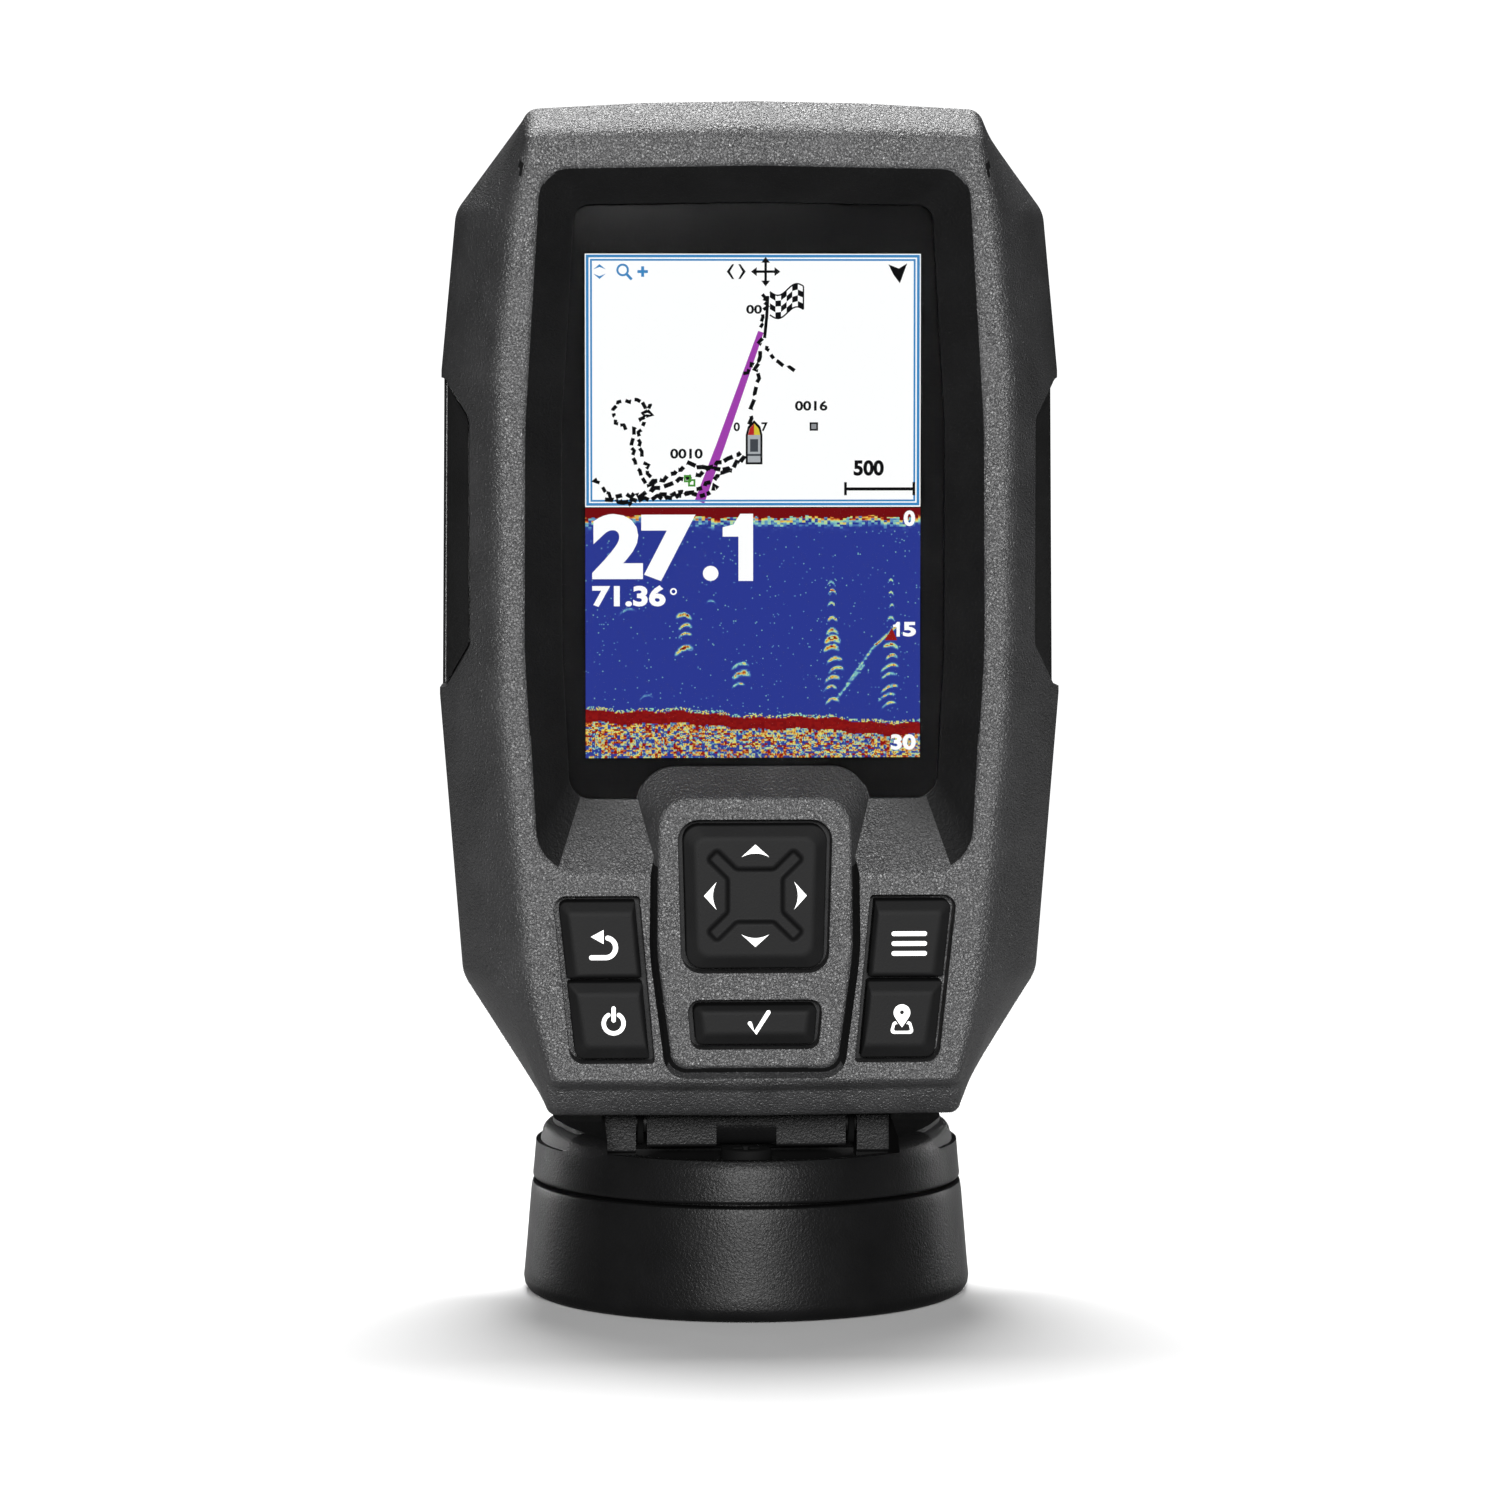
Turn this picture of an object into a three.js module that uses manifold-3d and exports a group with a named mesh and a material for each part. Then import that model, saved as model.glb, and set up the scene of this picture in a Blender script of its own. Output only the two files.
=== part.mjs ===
// Fish finder: a compact sonar display head that slides onto a cradle, on a tilt and swivel deck mount.
// Millimetres, +Z up, the screen faces -Y. The origin is on the swivel axis, at the underside of the mount's pad.
import * as THREE from "three";
import { mergeVertices } from "three/addons/utils/BufferGeometryUtils.js";
import Module from "manifold-3d";

const wasm = await Module();
wasm.setup();

// ---------------------------------------------------------------- driving dimensions

// Display: a 3.5 inch panel, upright
const SCREEN_WIDTH = 49.1;
const SCREEN_HEIGHT = 73.7;
const GLASS_SIDE_BORDER = 0.9; // panel glass past the lit area
const GLASS_TOP_BORDER = 1.7;
const GLASS_BOTTOM_BORDER = 4.0;
const PANEL_THICK = 2.0;
const BACKLIGHT_THICK = 2.4;

// Lens: the window over the display, with its printed border
const LENS_SIDE_BORDER = 3.5;
const LENS_TOP_BORDER = 7.5;
const LENS_BOTTOM_BORDER = 6.0;
const LENS_THICK = 1.5;
const TAPE_THICK = 0.4;

// Front face, from the lens outwards
const RECESS_DEPTH = 5.0;
const RECESS_SIDE_RUN = 5.05;
const RECESS_TOP_RUN = 5.4;
const RECESS_BOTTOM_RUN = 10.8;
const RING_SIDE = 3.0;
const RING_TOP = 4.1;
const TOP_BEVEL = 5.1;
const BOTTOM_BEVEL = 5.2;
const BEVEL_DEPTH = 5.2;
const WING_WIDTH = 9.8;

// Keys
const DPAD_WIDTH = 22.4;
const DPAD_HEIGHT = 22.4;
const SELECT_WIDTH = 19.2;
const SELECT_HEIGHT = 7.2;
const KEY_SPACING = 4.0; // between the four-way key and the select key
const KEY_GAP = 0.4; // round each key, in its opening
const KEY_PROUD = 0.9;
const KEY_BEVEL = 0.9;
const KEY_TRAVEL = 0.7;
const KEY_FLANGE = 0.5;
const KEY_FLANGE_THICK = 1.3;
const ROCK_ROOM = 0.6; // more room in front of the four-way key's flange, so that it can rock
const SIDE_KEY_MARGIN = 1.5; // from the groove to the side keys
const SIDE_KEY_OUTER_MARGIN = 3.4; // from the side keys to the edge of the face
const SIDE_KEY_RIB = 0.6; // gap between the two keys of a pair

// Raised key panel in the middle
const PANEL_TOP_ROOM = 0.2; // between the four-way key's flange and the wall of the panel
const PANEL_BOTTOM_MARGIN = 2.6;
const PANEL_SLOPE = 4.4;
const PANEL_SIDE_SLOPE = 2.9;
const PANEL_TO_FACE_BOTTOM = 2.7;
const PANEL_TO_SCREEN = 1.2;
const GROOVE_WIDTH = 1.2;
const GROOVE_DEPTH = 1.2;

// Casing
const WALL = 2.4;
const FRONT_CASE_DEPTH = 23.0; // face to parting line
const REAR_CASE_DEPTH = 19.0; // parting line to back
const WING_DEPTH = 15.0; // face to the widest line of the wings
const PART_GAP = 0.3; // between parts that meet
const CHAMFER_HEIGHT = 20.7; // the cut-away at the foot of the rear case
const SEAL_SIZE = 1.2;
const SCREW_RADIUS = 1.1;
const SCREW_HEAD_RADIUS = 2.4;
const SCREW_LENGTH = 12.0;
const BOSS_RADIUS = 2.9;

// Dock: the tongue of the cradle and the channel it fills
const TONGUE_WIDTH = 32.0;
const TONGUE_HEIGHT = 50.0;
const TONGUE_THICK = 4.0;
const RAIL_WIDTH = 2.0;
const RAIL_THICK = 1.8;
const DOCK_CLEARANCE = 0.4;

// Socket for the power and transducer plug
const SOCKET_RADIUS = 8.0;
const SOCKET_WALL = 1.6;
const SOCKET_DEPTH = 9.0;
const SOCKET_RISE = 27.0; // above the top of the dock
const CONTACT_RADIUS = 0.6;
const CONTACT_LENGTH = 4.2;
const CONTACT_CIRCLE = 2.6;

// Mount
const BASE_RADIUS = 33.6;
const BASE_HEIGHT = 17.0;
const CONE_TAPER = 0.085; // radius lost for each millimetre of height
const BASE_WALL = 2.6;
const BASE_FLOOR = 3.0;
const PAD_THICK = 1.5;
const PAD_LIFT = 0.2; // the base's rim clears the deck by this much
const SEAM = 0.5; // the gap that shows between base and turret
const DECK_HOLE_RADIUS = 2.2;
const DECK_HOLE_CIRCLE = 19.5;
const SPINDLE_RADIUS = 8.0;
const SPINDLE_BOLT_RADIUS = 2.0;
const TURRET_HEIGHT = 9.6;
const FRONT_LIP_HEIGHT = 6.7;
const TURRET_FLOOR = 3.2;
const GRIP_HEIGHT = 2.1;
const GRIP_DEPTH = 2.0;

// Tilt hinge
const HINGE_BACK = 3.0; // behind the swivel axis
const HINGE_LIFT = 25.0;
const BARREL_RADIUS = 3.6;
const BARREL_WIDTH = 30.4;
const PIN_RADIUS = 1.5;
const PIN_CLEARANCE = 0.15;
const WASHER_THICK = 0.9;
const LUG_WIDTH = 4.8;
const LUG_RADIUS = 4.0;
const HINGE_SIDE_GAP = 0.3;
const HEAD_OVER_TURRET = 2.6;

// Facets
const ROUND = 40;
const SMALL_ROUND = 16;
const CORNER_STEPS = 3;

// ---------------------------------------------------------------- derived places

const seamTop = BASE_HEIGHT + SEAM;
const turretTop = BASE_HEIGHT + TURRET_HEIGHT;
const headBottom = turretTop + HEAD_OVER_TURRET;
const faceBottom = headBottom + BOTTOM_BEVEL;
const panelBottom = faceBottom + PANEL_TO_FACE_BOTTOM;
const selectBottom = panelBottom + PANEL_BOTTOM_MARGIN;
const selectTop = selectBottom + SELECT_HEIGHT;
const dpadBottom = selectTop + KEY_SPACING;
const dpadTop = dpadBottom + DPAD_HEIGHT;
const panelTop = dpadTop + WALL + KEY_FLANGE + PANEL_TOP_ROOM;
const panelFoot = panelTop + PANEL_SLOPE;
const screenBottom = panelFoot + PANEL_TO_SCREEN;
const screenTop = screenBottom + SCREEN_HEIGHT;
const lensBottom = screenBottom - LENS_BOTTOM_BORDER;
const lensTop = screenTop + LENS_TOP_BORDER;
const recessBottom = lensBottom - RECESS_BOTTOM_RUN;
const recessTop = lensTop + RECESS_TOP_RUN;
const faceTop = recessTop + RING_TOP;
const headTop = faceTop + TOP_BEVEL;
const sideKeysBottom = faceBottom + 3.3;
const sideKeysTop = recessBottom - 3.0;
const sideKeysSplit = (sideKeysBottom + sideKeysTop) / 2;

const lensHalf = SCREEN_WIDTH / 2 + LENS_SIDE_BORDER;
const recessHalf = lensHalf + RECESS_SIDE_RUN;
const faceHalf = recessHalf + RING_SIDE;
const headHalf = faceHalf + WING_WIDTH;
const dpadHalf = DPAD_WIDTH / 2;
const panelHalf = dpadHalf + WALL + KEY_FLANGE;

// Depths: the face is in front of the swivel axis, so that the head balances over the base.
const face = -27.0;
const lensFront = face + RECESS_DEPTH;
const lensBack = lensFront + LENS_THICK;
const ledge = lensBack + TAPE_THICK + 0.1;
const panelFront = lensBack + PART_GAP;
const panelBack = panelFront + PANEL_THICK;
const parting = face + FRONT_CASE_DEPTH;
const back = parting + REAR_CASE_DEPTH;
const widest = face + WING_DEPTH;
const bevelBack = face + BEVEL_DEPTH;
const faceInside = face + WALL;
const keyFlangeFront = faceInside + PART_GAP;
const keyBack = keyFlangeFront + KEY_FLANGE_THICK;
const matFront = keyBack + KEY_TRAVEL + PART_GAP / 2;
const matBack = matFront + 1.6;
const domeTop = matBack + 0.1;
const boardFront = domeTop + 1.0;
const boardBack = boardFront + 1.4;
const mainBoardFront = face + 16.0;
const mainBoardBack = mainBoardFront + 1.6;

// Heights along the head's sides
const wingCorner = headTop - 15.8;
const notchTop = screenTop - 17.0;
const notchBottom = screenBottom + 9.0;
const lowCorner = headBottom + 20.2;

// Dock
const chamferTop = headBottom + CHAMFER_HEIGHT;
const dockTop = chamferTop + TONGUE_HEIGHT - 1.6;
const dockFloor = back - TONGUE_THICK - 2 * DOCK_CLEARANCE;
const socketHeight = dockTop + SOCKET_RISE;

// ---------------------------------------------------------------- shape helpers

/** A closed loop of corners [x, z, radius] from its right half, listed from the top down. */
function mirrored(right) {
  const left = right.filter(([x]) => x > 0).map(([x, z, r]) => [-x, z, r]);
  return [...right, ...left.reverse()];
}

/** Twice the loop's signed area: positive where it runs anticlockwise. */
function turning(loop) {
  return loop.reduce((sum, [x, z], i) => {
    const [nextX, nextZ] = loop[(i + 1) % loop.length];
    return sum + x * nextZ - nextX * z;
  }, 0);
}

/** The corners moved out by distance, or in where it is negative, with their radii following. */
function grown(corners, distance) {
  const side = turning(corners) > 0 ? 1 : -1;
  return corners.map(([x, z, r], i) => {
    const before = corners[(i + corners.length - 1) % corners.length];
    const after = corners[(i + 1) % corners.length];
    const into = new THREE.Vector2(x - before[0], z - before[1]).normalize();
    const out = new THREE.Vector2(after[0] - x, after[1] - z).normalize();
    const normalIn = new THREE.Vector2(into.y * side, -into.x * side);
    const normalOut = new THREE.Vector2(out.y * side, -out.x * side);
    const reach = distance / (1 + normalIn.dot(normalOut));
    const convex = into.cross(out) * side > 0;
    const radius = r > 0 ? Math.max(r + (convex ? distance : -distance), 0.3) : 0;
    return [x + (normalIn.x + normalOut.x) * reach, z + (normalIn.y + normalOut.y) * reach, radius];
  });
}

/** The loop's points as Vector2, with each corner that has a radius turned into an arc. */
function rounded(corners, steps = CORNER_STEPS) {
  const points = [];
  corners.forEach(([x, z, radius], i) => {
    const here = new THREE.Vector2(x, z);
    const before = new THREE.Vector2(...corners[(i + corners.length - 1) % corners.length]).sub(here);
    const after = new THREE.Vector2(...corners[(i + 1) % corners.length]).sub(here);
    const shortest = Math.min(before.length(), after.length());
    before.normalize();
    after.normalize();
    const half = Math.acos(THREE.MathUtils.clamp(before.dot(after), -1, 1)) / 2;
    if (radius <= 0) {
      points.push(here);
      return;
    }
    const cut = Math.min(radius / Math.tan(half), shortest * 0.48);
    const r = cut * Math.tan(half);
    const middle = before.clone().add(after).normalize().multiplyScalar(r / Math.sin(half)).add(here);
    const start = here.clone().addScaledVector(before, cut).sub(middle);
    const end = here.clone().addScaledVector(after, cut).sub(middle);
    const sweep = Math.atan2(start.cross(end), start.dot(end));
    for (let k = 0; k <= steps; k++)
      points.push(start.clone().rotateAround(new THREE.Vector2(), (sweep * k) / steps).add(middle));
  });
  return points;
}

/** A closed geometry as a manifold-3d solid. */
function solid(geometry) {
  const bare = geometry.clone();
  bare.deleteAttribute("normal");
  bare.deleteAttribute("uv");
  const merged = mergeVertices(bare, 1e-4);
  const index = merged.index.array;
  const kept = [];
  for (let i = 0; i < index.length; i += 3) {
    const [a, b, c] = [index[i], index[i + 1], index[i + 2]];
    if (a !== b && b !== c && a !== c) kept.push(a, b, c);
  }
  const vertProperties = new Float32Array(merged.attributes.position.array);
  return new wasm.Manifold(new wasm.Mesh({ numProp: 3, vertProperties, triVerts: new Uint32Array(kept) }));
}

/** A solid through sections [[y, corners], ...], all with the same number of corners, front to back. */
function loft(sections, steps = CORNER_STEPS) {
  const loops = sections.map(([, corners]) => rounded(corners, steps));
  const count = loops[0].length;
  const position = sections.flatMap(([y], k) => loops[k].flatMap((p) => [p.x, y, p.y]));
  const index = [];
  for (let k = 0; k + 1 < loops.length; k++)
    for (let i = 0; i < count; i++) {
      const next = (i + 1) % count;
      const [a, b, c, d] = [k * count + i, k * count + next, (k + 1) * count + i, (k + 1) * count + next];
      index.push(a, b, c, b, d, c);
    }
  const lastRing = (loops.length - 1) * count;
  for (const [a, b, c] of THREE.ShapeUtils.triangulateShape(loops[0], [])) index.push(...orient(loops[0], a, b, c));
  for (const [a, b, c] of THREE.ShapeUtils.triangulateShape(loops.at(-1), [])) {
    const [p, q, r] = orient(loops.at(-1), a, b, c);
    index.push(lastRing + p, lastRing + r, lastRing + q);
  }
  if (turning(loops[0].map((p) => [p.x, p.y])) > 0)
    for (let i = 0; i < index.length; i += 3) [index[i + 1], index[i + 2]] = [index[i + 2], index[i + 1]];
  const geometry = new THREE.BufferGeometry();
  geometry.setAttribute("position", new THREE.Float32BufferAttribute(position, 3));
  geometry.setIndex(index);
  return solid(geometry);
}

/** The triangle turned the way that its loop runs, as the front cap of a clockwise loop needs. */
function orient(loop, a, b, c) {
  const [p, q, r] = [loop[a], loop[b], loop[c]];
  const area = (q.x - p.x) * (r.y - p.y) - (r.x - p.x) * (q.y - p.y);
  const runsAnticlockwise = turning(loop.map((v) => [v.x, v.y])) > 0;
  return area > 0 === runsAnticlockwise ? [a, c, b] : [a, b, c];
}

/** A loop of corners as a plate from depth y0 to y1. */
function plate(corners, y0, y1, steps = CORNER_STEPS) {
  return loft([[y0, corners], [y1, corners]], steps);
}

function block(x0, x1, y0, y1, z0, z1) {
  const box = new THREE.BoxGeometry(x1 - x0, y1 - y0, z1 - z0);
  return solid(box.translate((x0 + x1) / 2, (y0 + y1) / 2, (z0 + z1) / 2));
}

/** A solid turned about the Z axis from a closed profile of [radius, height]. */
function turned(profile, segments = ROUND) {
  const points = profile.map(([r, z]) => new THREE.Vector2(r, z));
  const made = solid(new THREE.LatheGeometry(points, segments).rotateX(Math.PI / 2));
  if (made.volume() > 0) return made;
  return solid(new THREE.LatheGeometry(points.reverse(), segments).rotateX(Math.PI / 2));
}

/** A closed profile of a tube or disc, from its radii and heights. */
function ringProfile(inner, outer, z0, z1) {
  return [[inner, z0], [outer, z0], [outer, z1], [inner, z1], [inner, z0]];
}

function discProfile(radius, z0, z1) {
  return [[0, z0], [radius, z0], [radius, z1], [0, z1]];
}

/** A round bar between two depths. */
function rodY(x, z, radius, y0, y1, segments = SMALL_ROUND) {
  const bar = new THREE.CylinderGeometry(radius, radius, y1 - y0, segments);
  return solid(bar.translate(x, (y0 + y1) / 2, z));
}

function rodX(y, z, radius, x0, x1, segments = SMALL_ROUND) {
  const bar = new THREE.CylinderGeometry(radius, radius, x1 - x0, segments).rotateZ(Math.PI / 2);
  return solid(bar.translate((x0 + x1) / 2, y, z));
}

function rodZ(x, y, radius, z0, z1, segments = SMALL_ROUND) {
  const bar = new THREE.CylinderGeometry(radius, radius, z1 - z0, segments).rotateX(Math.PI / 2);
  return solid(bar.translate(x, y, (z0 + z1) / 2));
}

/** A side profile of [y, z] points, pushed across from x0 to x1. */
function across(profile, x0, x1) {
  const shape = new THREE.Shape(profile.map(([y, z]) => new THREE.Vector2(y, z)));
  const body = new THREE.ExtrudeGeometry(shape, { depth: x1 - x0, bevelEnabled: false });
  const [toY, toZ, toX] = [new THREE.Vector3(0, 1, 0), new THREE.Vector3(0, 0, 1), new THREE.Vector3(1, 0, 0)];
  return solid(body.applyMatrix4(new THREE.Matrix4().makeBasis(toY, toZ, toX)).translate(x0, 0, 0));
}

function joined(...solids) {
  return solids.reduce((whole, piece) => whole.add(piece));
}

function without(body, ...cuts) {
  return cuts.reduce((left, cut) => left.subtract(cut), body);
}

const materials = {
  casing: { color: 0x3c3d3f, roughness: 0.6, metalness: 0 },
  casingDark: { color: 0x1f2022, roughness: 0.6, metalness: 0 },
  key: { color: 0x242526, roughness: 0.5, metalness: 0 },
  glass: { color: 0x0a0a0b, roughness: 0.08, metalness: 0 },
  display: { color: 0x2c3a8e, roughness: 0.3, metalness: 0 },
  white: { color: 0xd8dad8, roughness: 0.5, metalness: 0 },
  board: { color: 0x1d5a3a, roughness: 0.5, metalness: 0 },
  metal: { color: 0xa9adb2, roughness: 0.35, metalness: 1 },
  gold: { color: 0xc9a24a, roughness: 0.3, metalness: 1 },
  rubber: { color: 0x161617, roughness: 0.85, metalness: 0 },
  ceramic: { color: 0xb9a58a, roughness: 0.6, metalness: 0 },
};

/** A named mesh of one solid in one of the materials. */
function part(name, body, material, position = [0, 0, 0]) {
  const made = body.getMesh();
  const geometry = new THREE.BufferGeometry();
  geometry.setAttribute("position", new THREE.Float32BufferAttribute(made.vertProperties, 3));
  geometry.setIndex([...made.triVerts]);
  const flat = geometry.toNonIndexed();
  flat.computeVertexNormals();
  const mesh = new THREE.Mesh(flat, new THREE.MeshStandardMaterial(materials[material]));
  mesh.name = name;
  mesh.position.set(...position);
  return mesh;
}

function group(...members) {
  const made = new THREE.Group();
  made.add(...members);
  return made;
}

// ---------------------------------------------------------------- outlines of the head, seen from the front

/** The silhouette at the wings' widest line. */
const silhouette = mirrored([
  [0, headTop, 0],
  [faceHalf - 20, headTop - 0.3, 0],
  [faceHalf - 4.1, headTop - 1.2, 3],
  [headHalf - 2.6, wingCorner, 5],
  [headHalf - 0.4, notchTop, 0],
  [headHalf, notchBottom, 0],
  [headHalf - 3.3, lowCorner, 6],
  [faceHalf - 6.1, headBottom + 0.3, 1.6],
  [0, headBottom, 0],
]);

/** The flat front face, corner for corner with the silhouette. */
const faceOutline = mirrored([
  [0, faceTop, 0],
  [faceHalf - 20, faceTop - 0.2, 0],
  [faceHalf - 3.5, faceTop - 0.7, 1.5],
  [faceHalf - 1.8, wingCorner, 40],
  [faceHalf, notchTop, 0],
  [faceHalf - 0.4, notchBottom, 0],
  [faceHalf - 4.4, lowCorner, 60],
  [faceHalf - 6.5, faceBottom + 0.5, 2],
  [0, faceBottom, 0],
]);

/** Half the width of the front face at a height below the notch. */
function faceHalfAt(z) {
  const [upper, lower] = z > lowCorner
    ? [[faceHalf - 0.4, notchBottom], [faceHalf - 4.4, lowCorner]]
    : [[faceHalf - 4.4, lowCorner], [faceHalf - 6.5, faceBottom + 0.5]];
  return lower[0] + ((upper[0] - lower[0]) * (z - lower[1])) / (upper[1] - lower[1]);
}

/** The outline at the back of the bevels: full height, with the wings still on their way out. */
const bevelOutline = silhouette.map(([x, z, r], i) => {
  const share = (bevelBack - face) / (widest - face);
  const [faceX, faceZ] = faceOutline[i];
  const isWing = Math.abs(x) > faceHalf;
  return [faceX + (x - faceX) * share, isWing ? faceZ + (z - faceZ) * share : z, r];
});

const middleHigh = screenTop - 25;
const middleLow = screenBottom + 16;

/** The mouth of the recess round the display. */
const recessMouth = mirrored([
  [0, recessTop, 0],
  [recessHalf - 2.2, recessTop - 0.7, 6],
  [recessHalf, middleHigh, 90],
  [recessHalf - 0.2, middleLow, 90],
  [recessHalf - 2.4, recessBottom, 4],
  [0, recessBottom, 0],
]);

/** The foot of the recess, which is the outline of the lens but for its notch. */
const lensOutline = mirrored([
  [0, lensTop, 0],
  [lensHalf - 1.9, lensTop - 0.4, 2.4],
  [lensHalf, middleHigh, 90],
  [lensHalf, middleLow, 90],
  [lensHalf - 1.1, lensBottom, 3],
  [0, lensBottom, 0],
]);

/** The raised key panel at the level of the face, and its foot at the level of the lens. */
const panelOutline = mirrored([
  [panelHalf - 0.2, panelTop, 3.6],
  [panelHalf + 0.1, dpadBottom + 3, 30],
  [panelHalf - 2.2, panelBottom, 2.4],
]);
const panelFootOutline = mirrored([
  [panelHalf + PANEL_SIDE_SLOPE, panelFoot, 5],
  [panelHalf + PANEL_SIDE_SLOPE, dpadBottom + 3, 30],
  [panelHalf + PANEL_SIDE_SLOPE - 2.2, panelBottom - 4, 2.4],
]);

/** Half the width of the raised key panel at a height. */
function panelHalfAt(z) {
  const share = THREE.MathUtils.clamp((z - panelBottom) / (dpadBottom + 3 - panelBottom), 0, 1);
  return panelHalf - 2.2 + 2.3 * share;
}

const notchInner = headHalf - 4.5;

/** The grip notch in one wing: side is 1 for the right and -1 for the left. */
function notchCorners(side) {
  return [
    [side * (headHalf + 4), notchTop, 0],
    [side * (headHalf - 1), notchTop - 1.2, 1],
    [side * notchInner, notchTop - 7, 2],
    [side * notchInner, notchBottom + 7.5, 2],
    [side * (headHalf - 1), notchBottom + 1.2, 1],
    [side * (headHalf + 4), notchBottom, 0],
  ];
}

// ---------------------------------------------------------------- keys

const dpadOpening = mirrored([
  [dpadHalf + 0.1, dpadTop, 2.6],
  [dpadHalf - 0.5, dpadBottom, 2.6],
]);
const selectOpening = mirrored([
  [SELECT_WIDTH / 2 + 0.3, selectTop, 1.5],
  [SELECT_WIDTH / 2 - 0.3, selectBottom, 1.5],
]);

/** The opening that a pair of side keys shares. */
function pairOpening(side) {
  const outerTop = faceHalfAt(sideKeysTop) - SIDE_KEY_OUTER_MARGIN;
  const outerBottom = faceHalfAt(sideKeysBottom) - SIDE_KEY_OUTER_MARGIN + 0.3;
  const innerTop = panelHalfAt(sideKeysTop) + GROOVE_WIDTH + SIDE_KEY_MARGIN;
  const innerBottom = panelHalfAt(sideKeysBottom) + GROOVE_WIDTH + SIDE_KEY_MARGIN;
  return [
    [side * outerTop, sideKeysTop, 1.5],
    [side * innerTop, sideKeysTop, 0.6],
    [side * innerBottom, sideKeysBottom, 0.6],
    [side * outerBottom, sideKeysBottom, 2],
  ];
}

/** A key cap with its bevelled top, and the flange that holds it behind the face. */
function keyCap(opening, flangeFront = keyFlangeFront) {
  const outline = grown(opening, -KEY_GAP);
  const cap = loft([
    [face - KEY_PROUD, grown(outline, -KEY_BEVEL)],
    [face, outline],
    [keyBack, outline],
  ]);
  return joined(cap, plate(grown(opening, KEY_FLANGE), flangeFront, keyBack));
}

/** One key of a side pair, cut from the pair's cap along the rib. */
function pairKey(side, upper) {
  const reach = headHalf + 1;
  const [low, high] = upper
    ? [sideKeysSplit + SIDE_KEY_RIB / 2, headTop]
    : [headBottom, sideKeysSplit - SIDE_KEY_RIB / 2];
  return keyCap(pairOpening(side)).intersect(block(-reach, reach, face - 5, parting, low, high));
}

const crossArm = 2.0;
const crossReach = DPAD_WIDTH * 0.32;
const crossCore = DPAD_WIDTH * 0.18;
const dpadMiddle = (dpadTop + dpadBottom) / 2;
const pivotRadius = 2.2;

/** The four-way key: a bevelled square with a sunken X, on a pivot. */
function fourWayKey() {
  const depth = face - KEY_PROUD + 0.6;
  const arm = (turn) => {
    const bar = new THREE.BoxGeometry(2 * crossReach, 4, crossArm).rotateY(turn);
    return solid(bar.translate(0, depth - 2, dpadMiddle));
  };
  const core = block(-crossCore, crossCore, depth - 4, depth, dpadMiddle - crossCore, dpadMiddle + crossCore);
  const socket = rodY(0, dpadMiddle, pivotRadius + PART_GAP, keyBack - 1.4, keyBack + 1);
  return without(keyCap(dpadOpening, keyFlangeFront + ROCK_ROOM), joined(core, arm(Math.PI / 4), arm(-Math.PI / 4)), socket);
}

/** The post that the four-way key rocks on. */
function keyPivot() {
  return rodY(0, dpadMiddle, pivotRadius, keyBack - 1.1, matFront - 0.25);
}

/** The outline that the key mat and its board share: a low wide plate with a tall tongue in the middle. */
function keyDeck(y0, y1, margin) {
  const low = faceBottom + margin;
  const wide = faceHalfAt(faceBottom + 3) - WALL - margin;
  const tall = Math.min(panelTop - margin, dpadTop + 1.5);
  const wideTop = sideKeysTop + 1.2;
  const tongue = panelHalf - WALL - 0.2;
  return joined(
    plate(mirrored([[wide, wideTop, 1], [wide, low, 1]]), y0, y1, 1),
    plate(mirrored([[tongue, tall, 1], [tongue, low, 1]]), y0, y1, 1),
  );
}

const sideKeyMiddle = (panelHalfAt(sideKeysSplit) + faceHalfAt(sideKeysSplit)) / 2;
const keyPlaces = [
  [0, (selectTop + selectBottom) / 2],
  ...[-1, 1].flatMap((side) => [
    [side * sideKeyMiddle, (sideKeysTop + sideKeysSplit) / 2],
    [side * sideKeyMiddle, (sideKeysBottom + sideKeysSplit) / 2],
  ]),
];
const domePlaces = [
  ...keyPlaces,
  ...[[0, 1], [0, -1], [1, 0], [-1, 0]].map(([x, z]) => [x * dpadHalf * 0.7, dpadMiddle + z * dpadHalf * 0.7]),
];

/** The silicone mat under the keys, with a plunger for each switch. */
function keyMat() {
  const plungers = domePlaces.map(([x, z]) => rodY(x, z, 1.8, matFront - 0.1, matFront + 0.5, 10));
  return joined(keyDeck(matFront, matBack, 1.6), ...plungers);
}

/** The sheet of snap domes on the key board. */
function domeSheet() {
  const domes = domePlaces.map(([x, z]) => rodY(x, z, 2.4, domeTop, domeTop + 0.5, 12));
  return joined(keyDeck(domeTop + 0.4, boardFront - 0.1, 2.2), ...domes);
}

// ---------------------------------------------------------------- head

const screwPlaces = [
  [faceHalf - 3.1, wingCorner - 12],
  [faceHalf - 3.1, notchBottom - 8],
  [faceHalf - 5.1, lowCorner + 4],
].flatMap(([x, z]) => [[x, z], [-x, z]]);
const screwSeat = parting + 5.0;

/** The solid shape of the front case, before it is hollowed. */
function frontBody(inset) {
  const faceInset = grown(faceOutline, -inset * 0.5);
  return loft([
    [face + inset, faceInset],
    [bevelBack + inset * 0.4, grown(bevelOutline, -inset)],
    [widest, grown(silhouette, -inset)],
    [parting, grown(silhouette, -inset - 0.3)],
  ]);
}

function raisedPanel(inset) {
  return loft([
    [face + inset - (inset ? 0 : 1), grown(panelOutline, -inset)],
    [face + inset, grown(panelOutline, -inset)],
    [lensFront + inset, grown(panelFootOutline, -inset)],
    [ledge + WALL + 1, grown(panelFootOutline, -inset)],
  ]);
}

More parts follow.
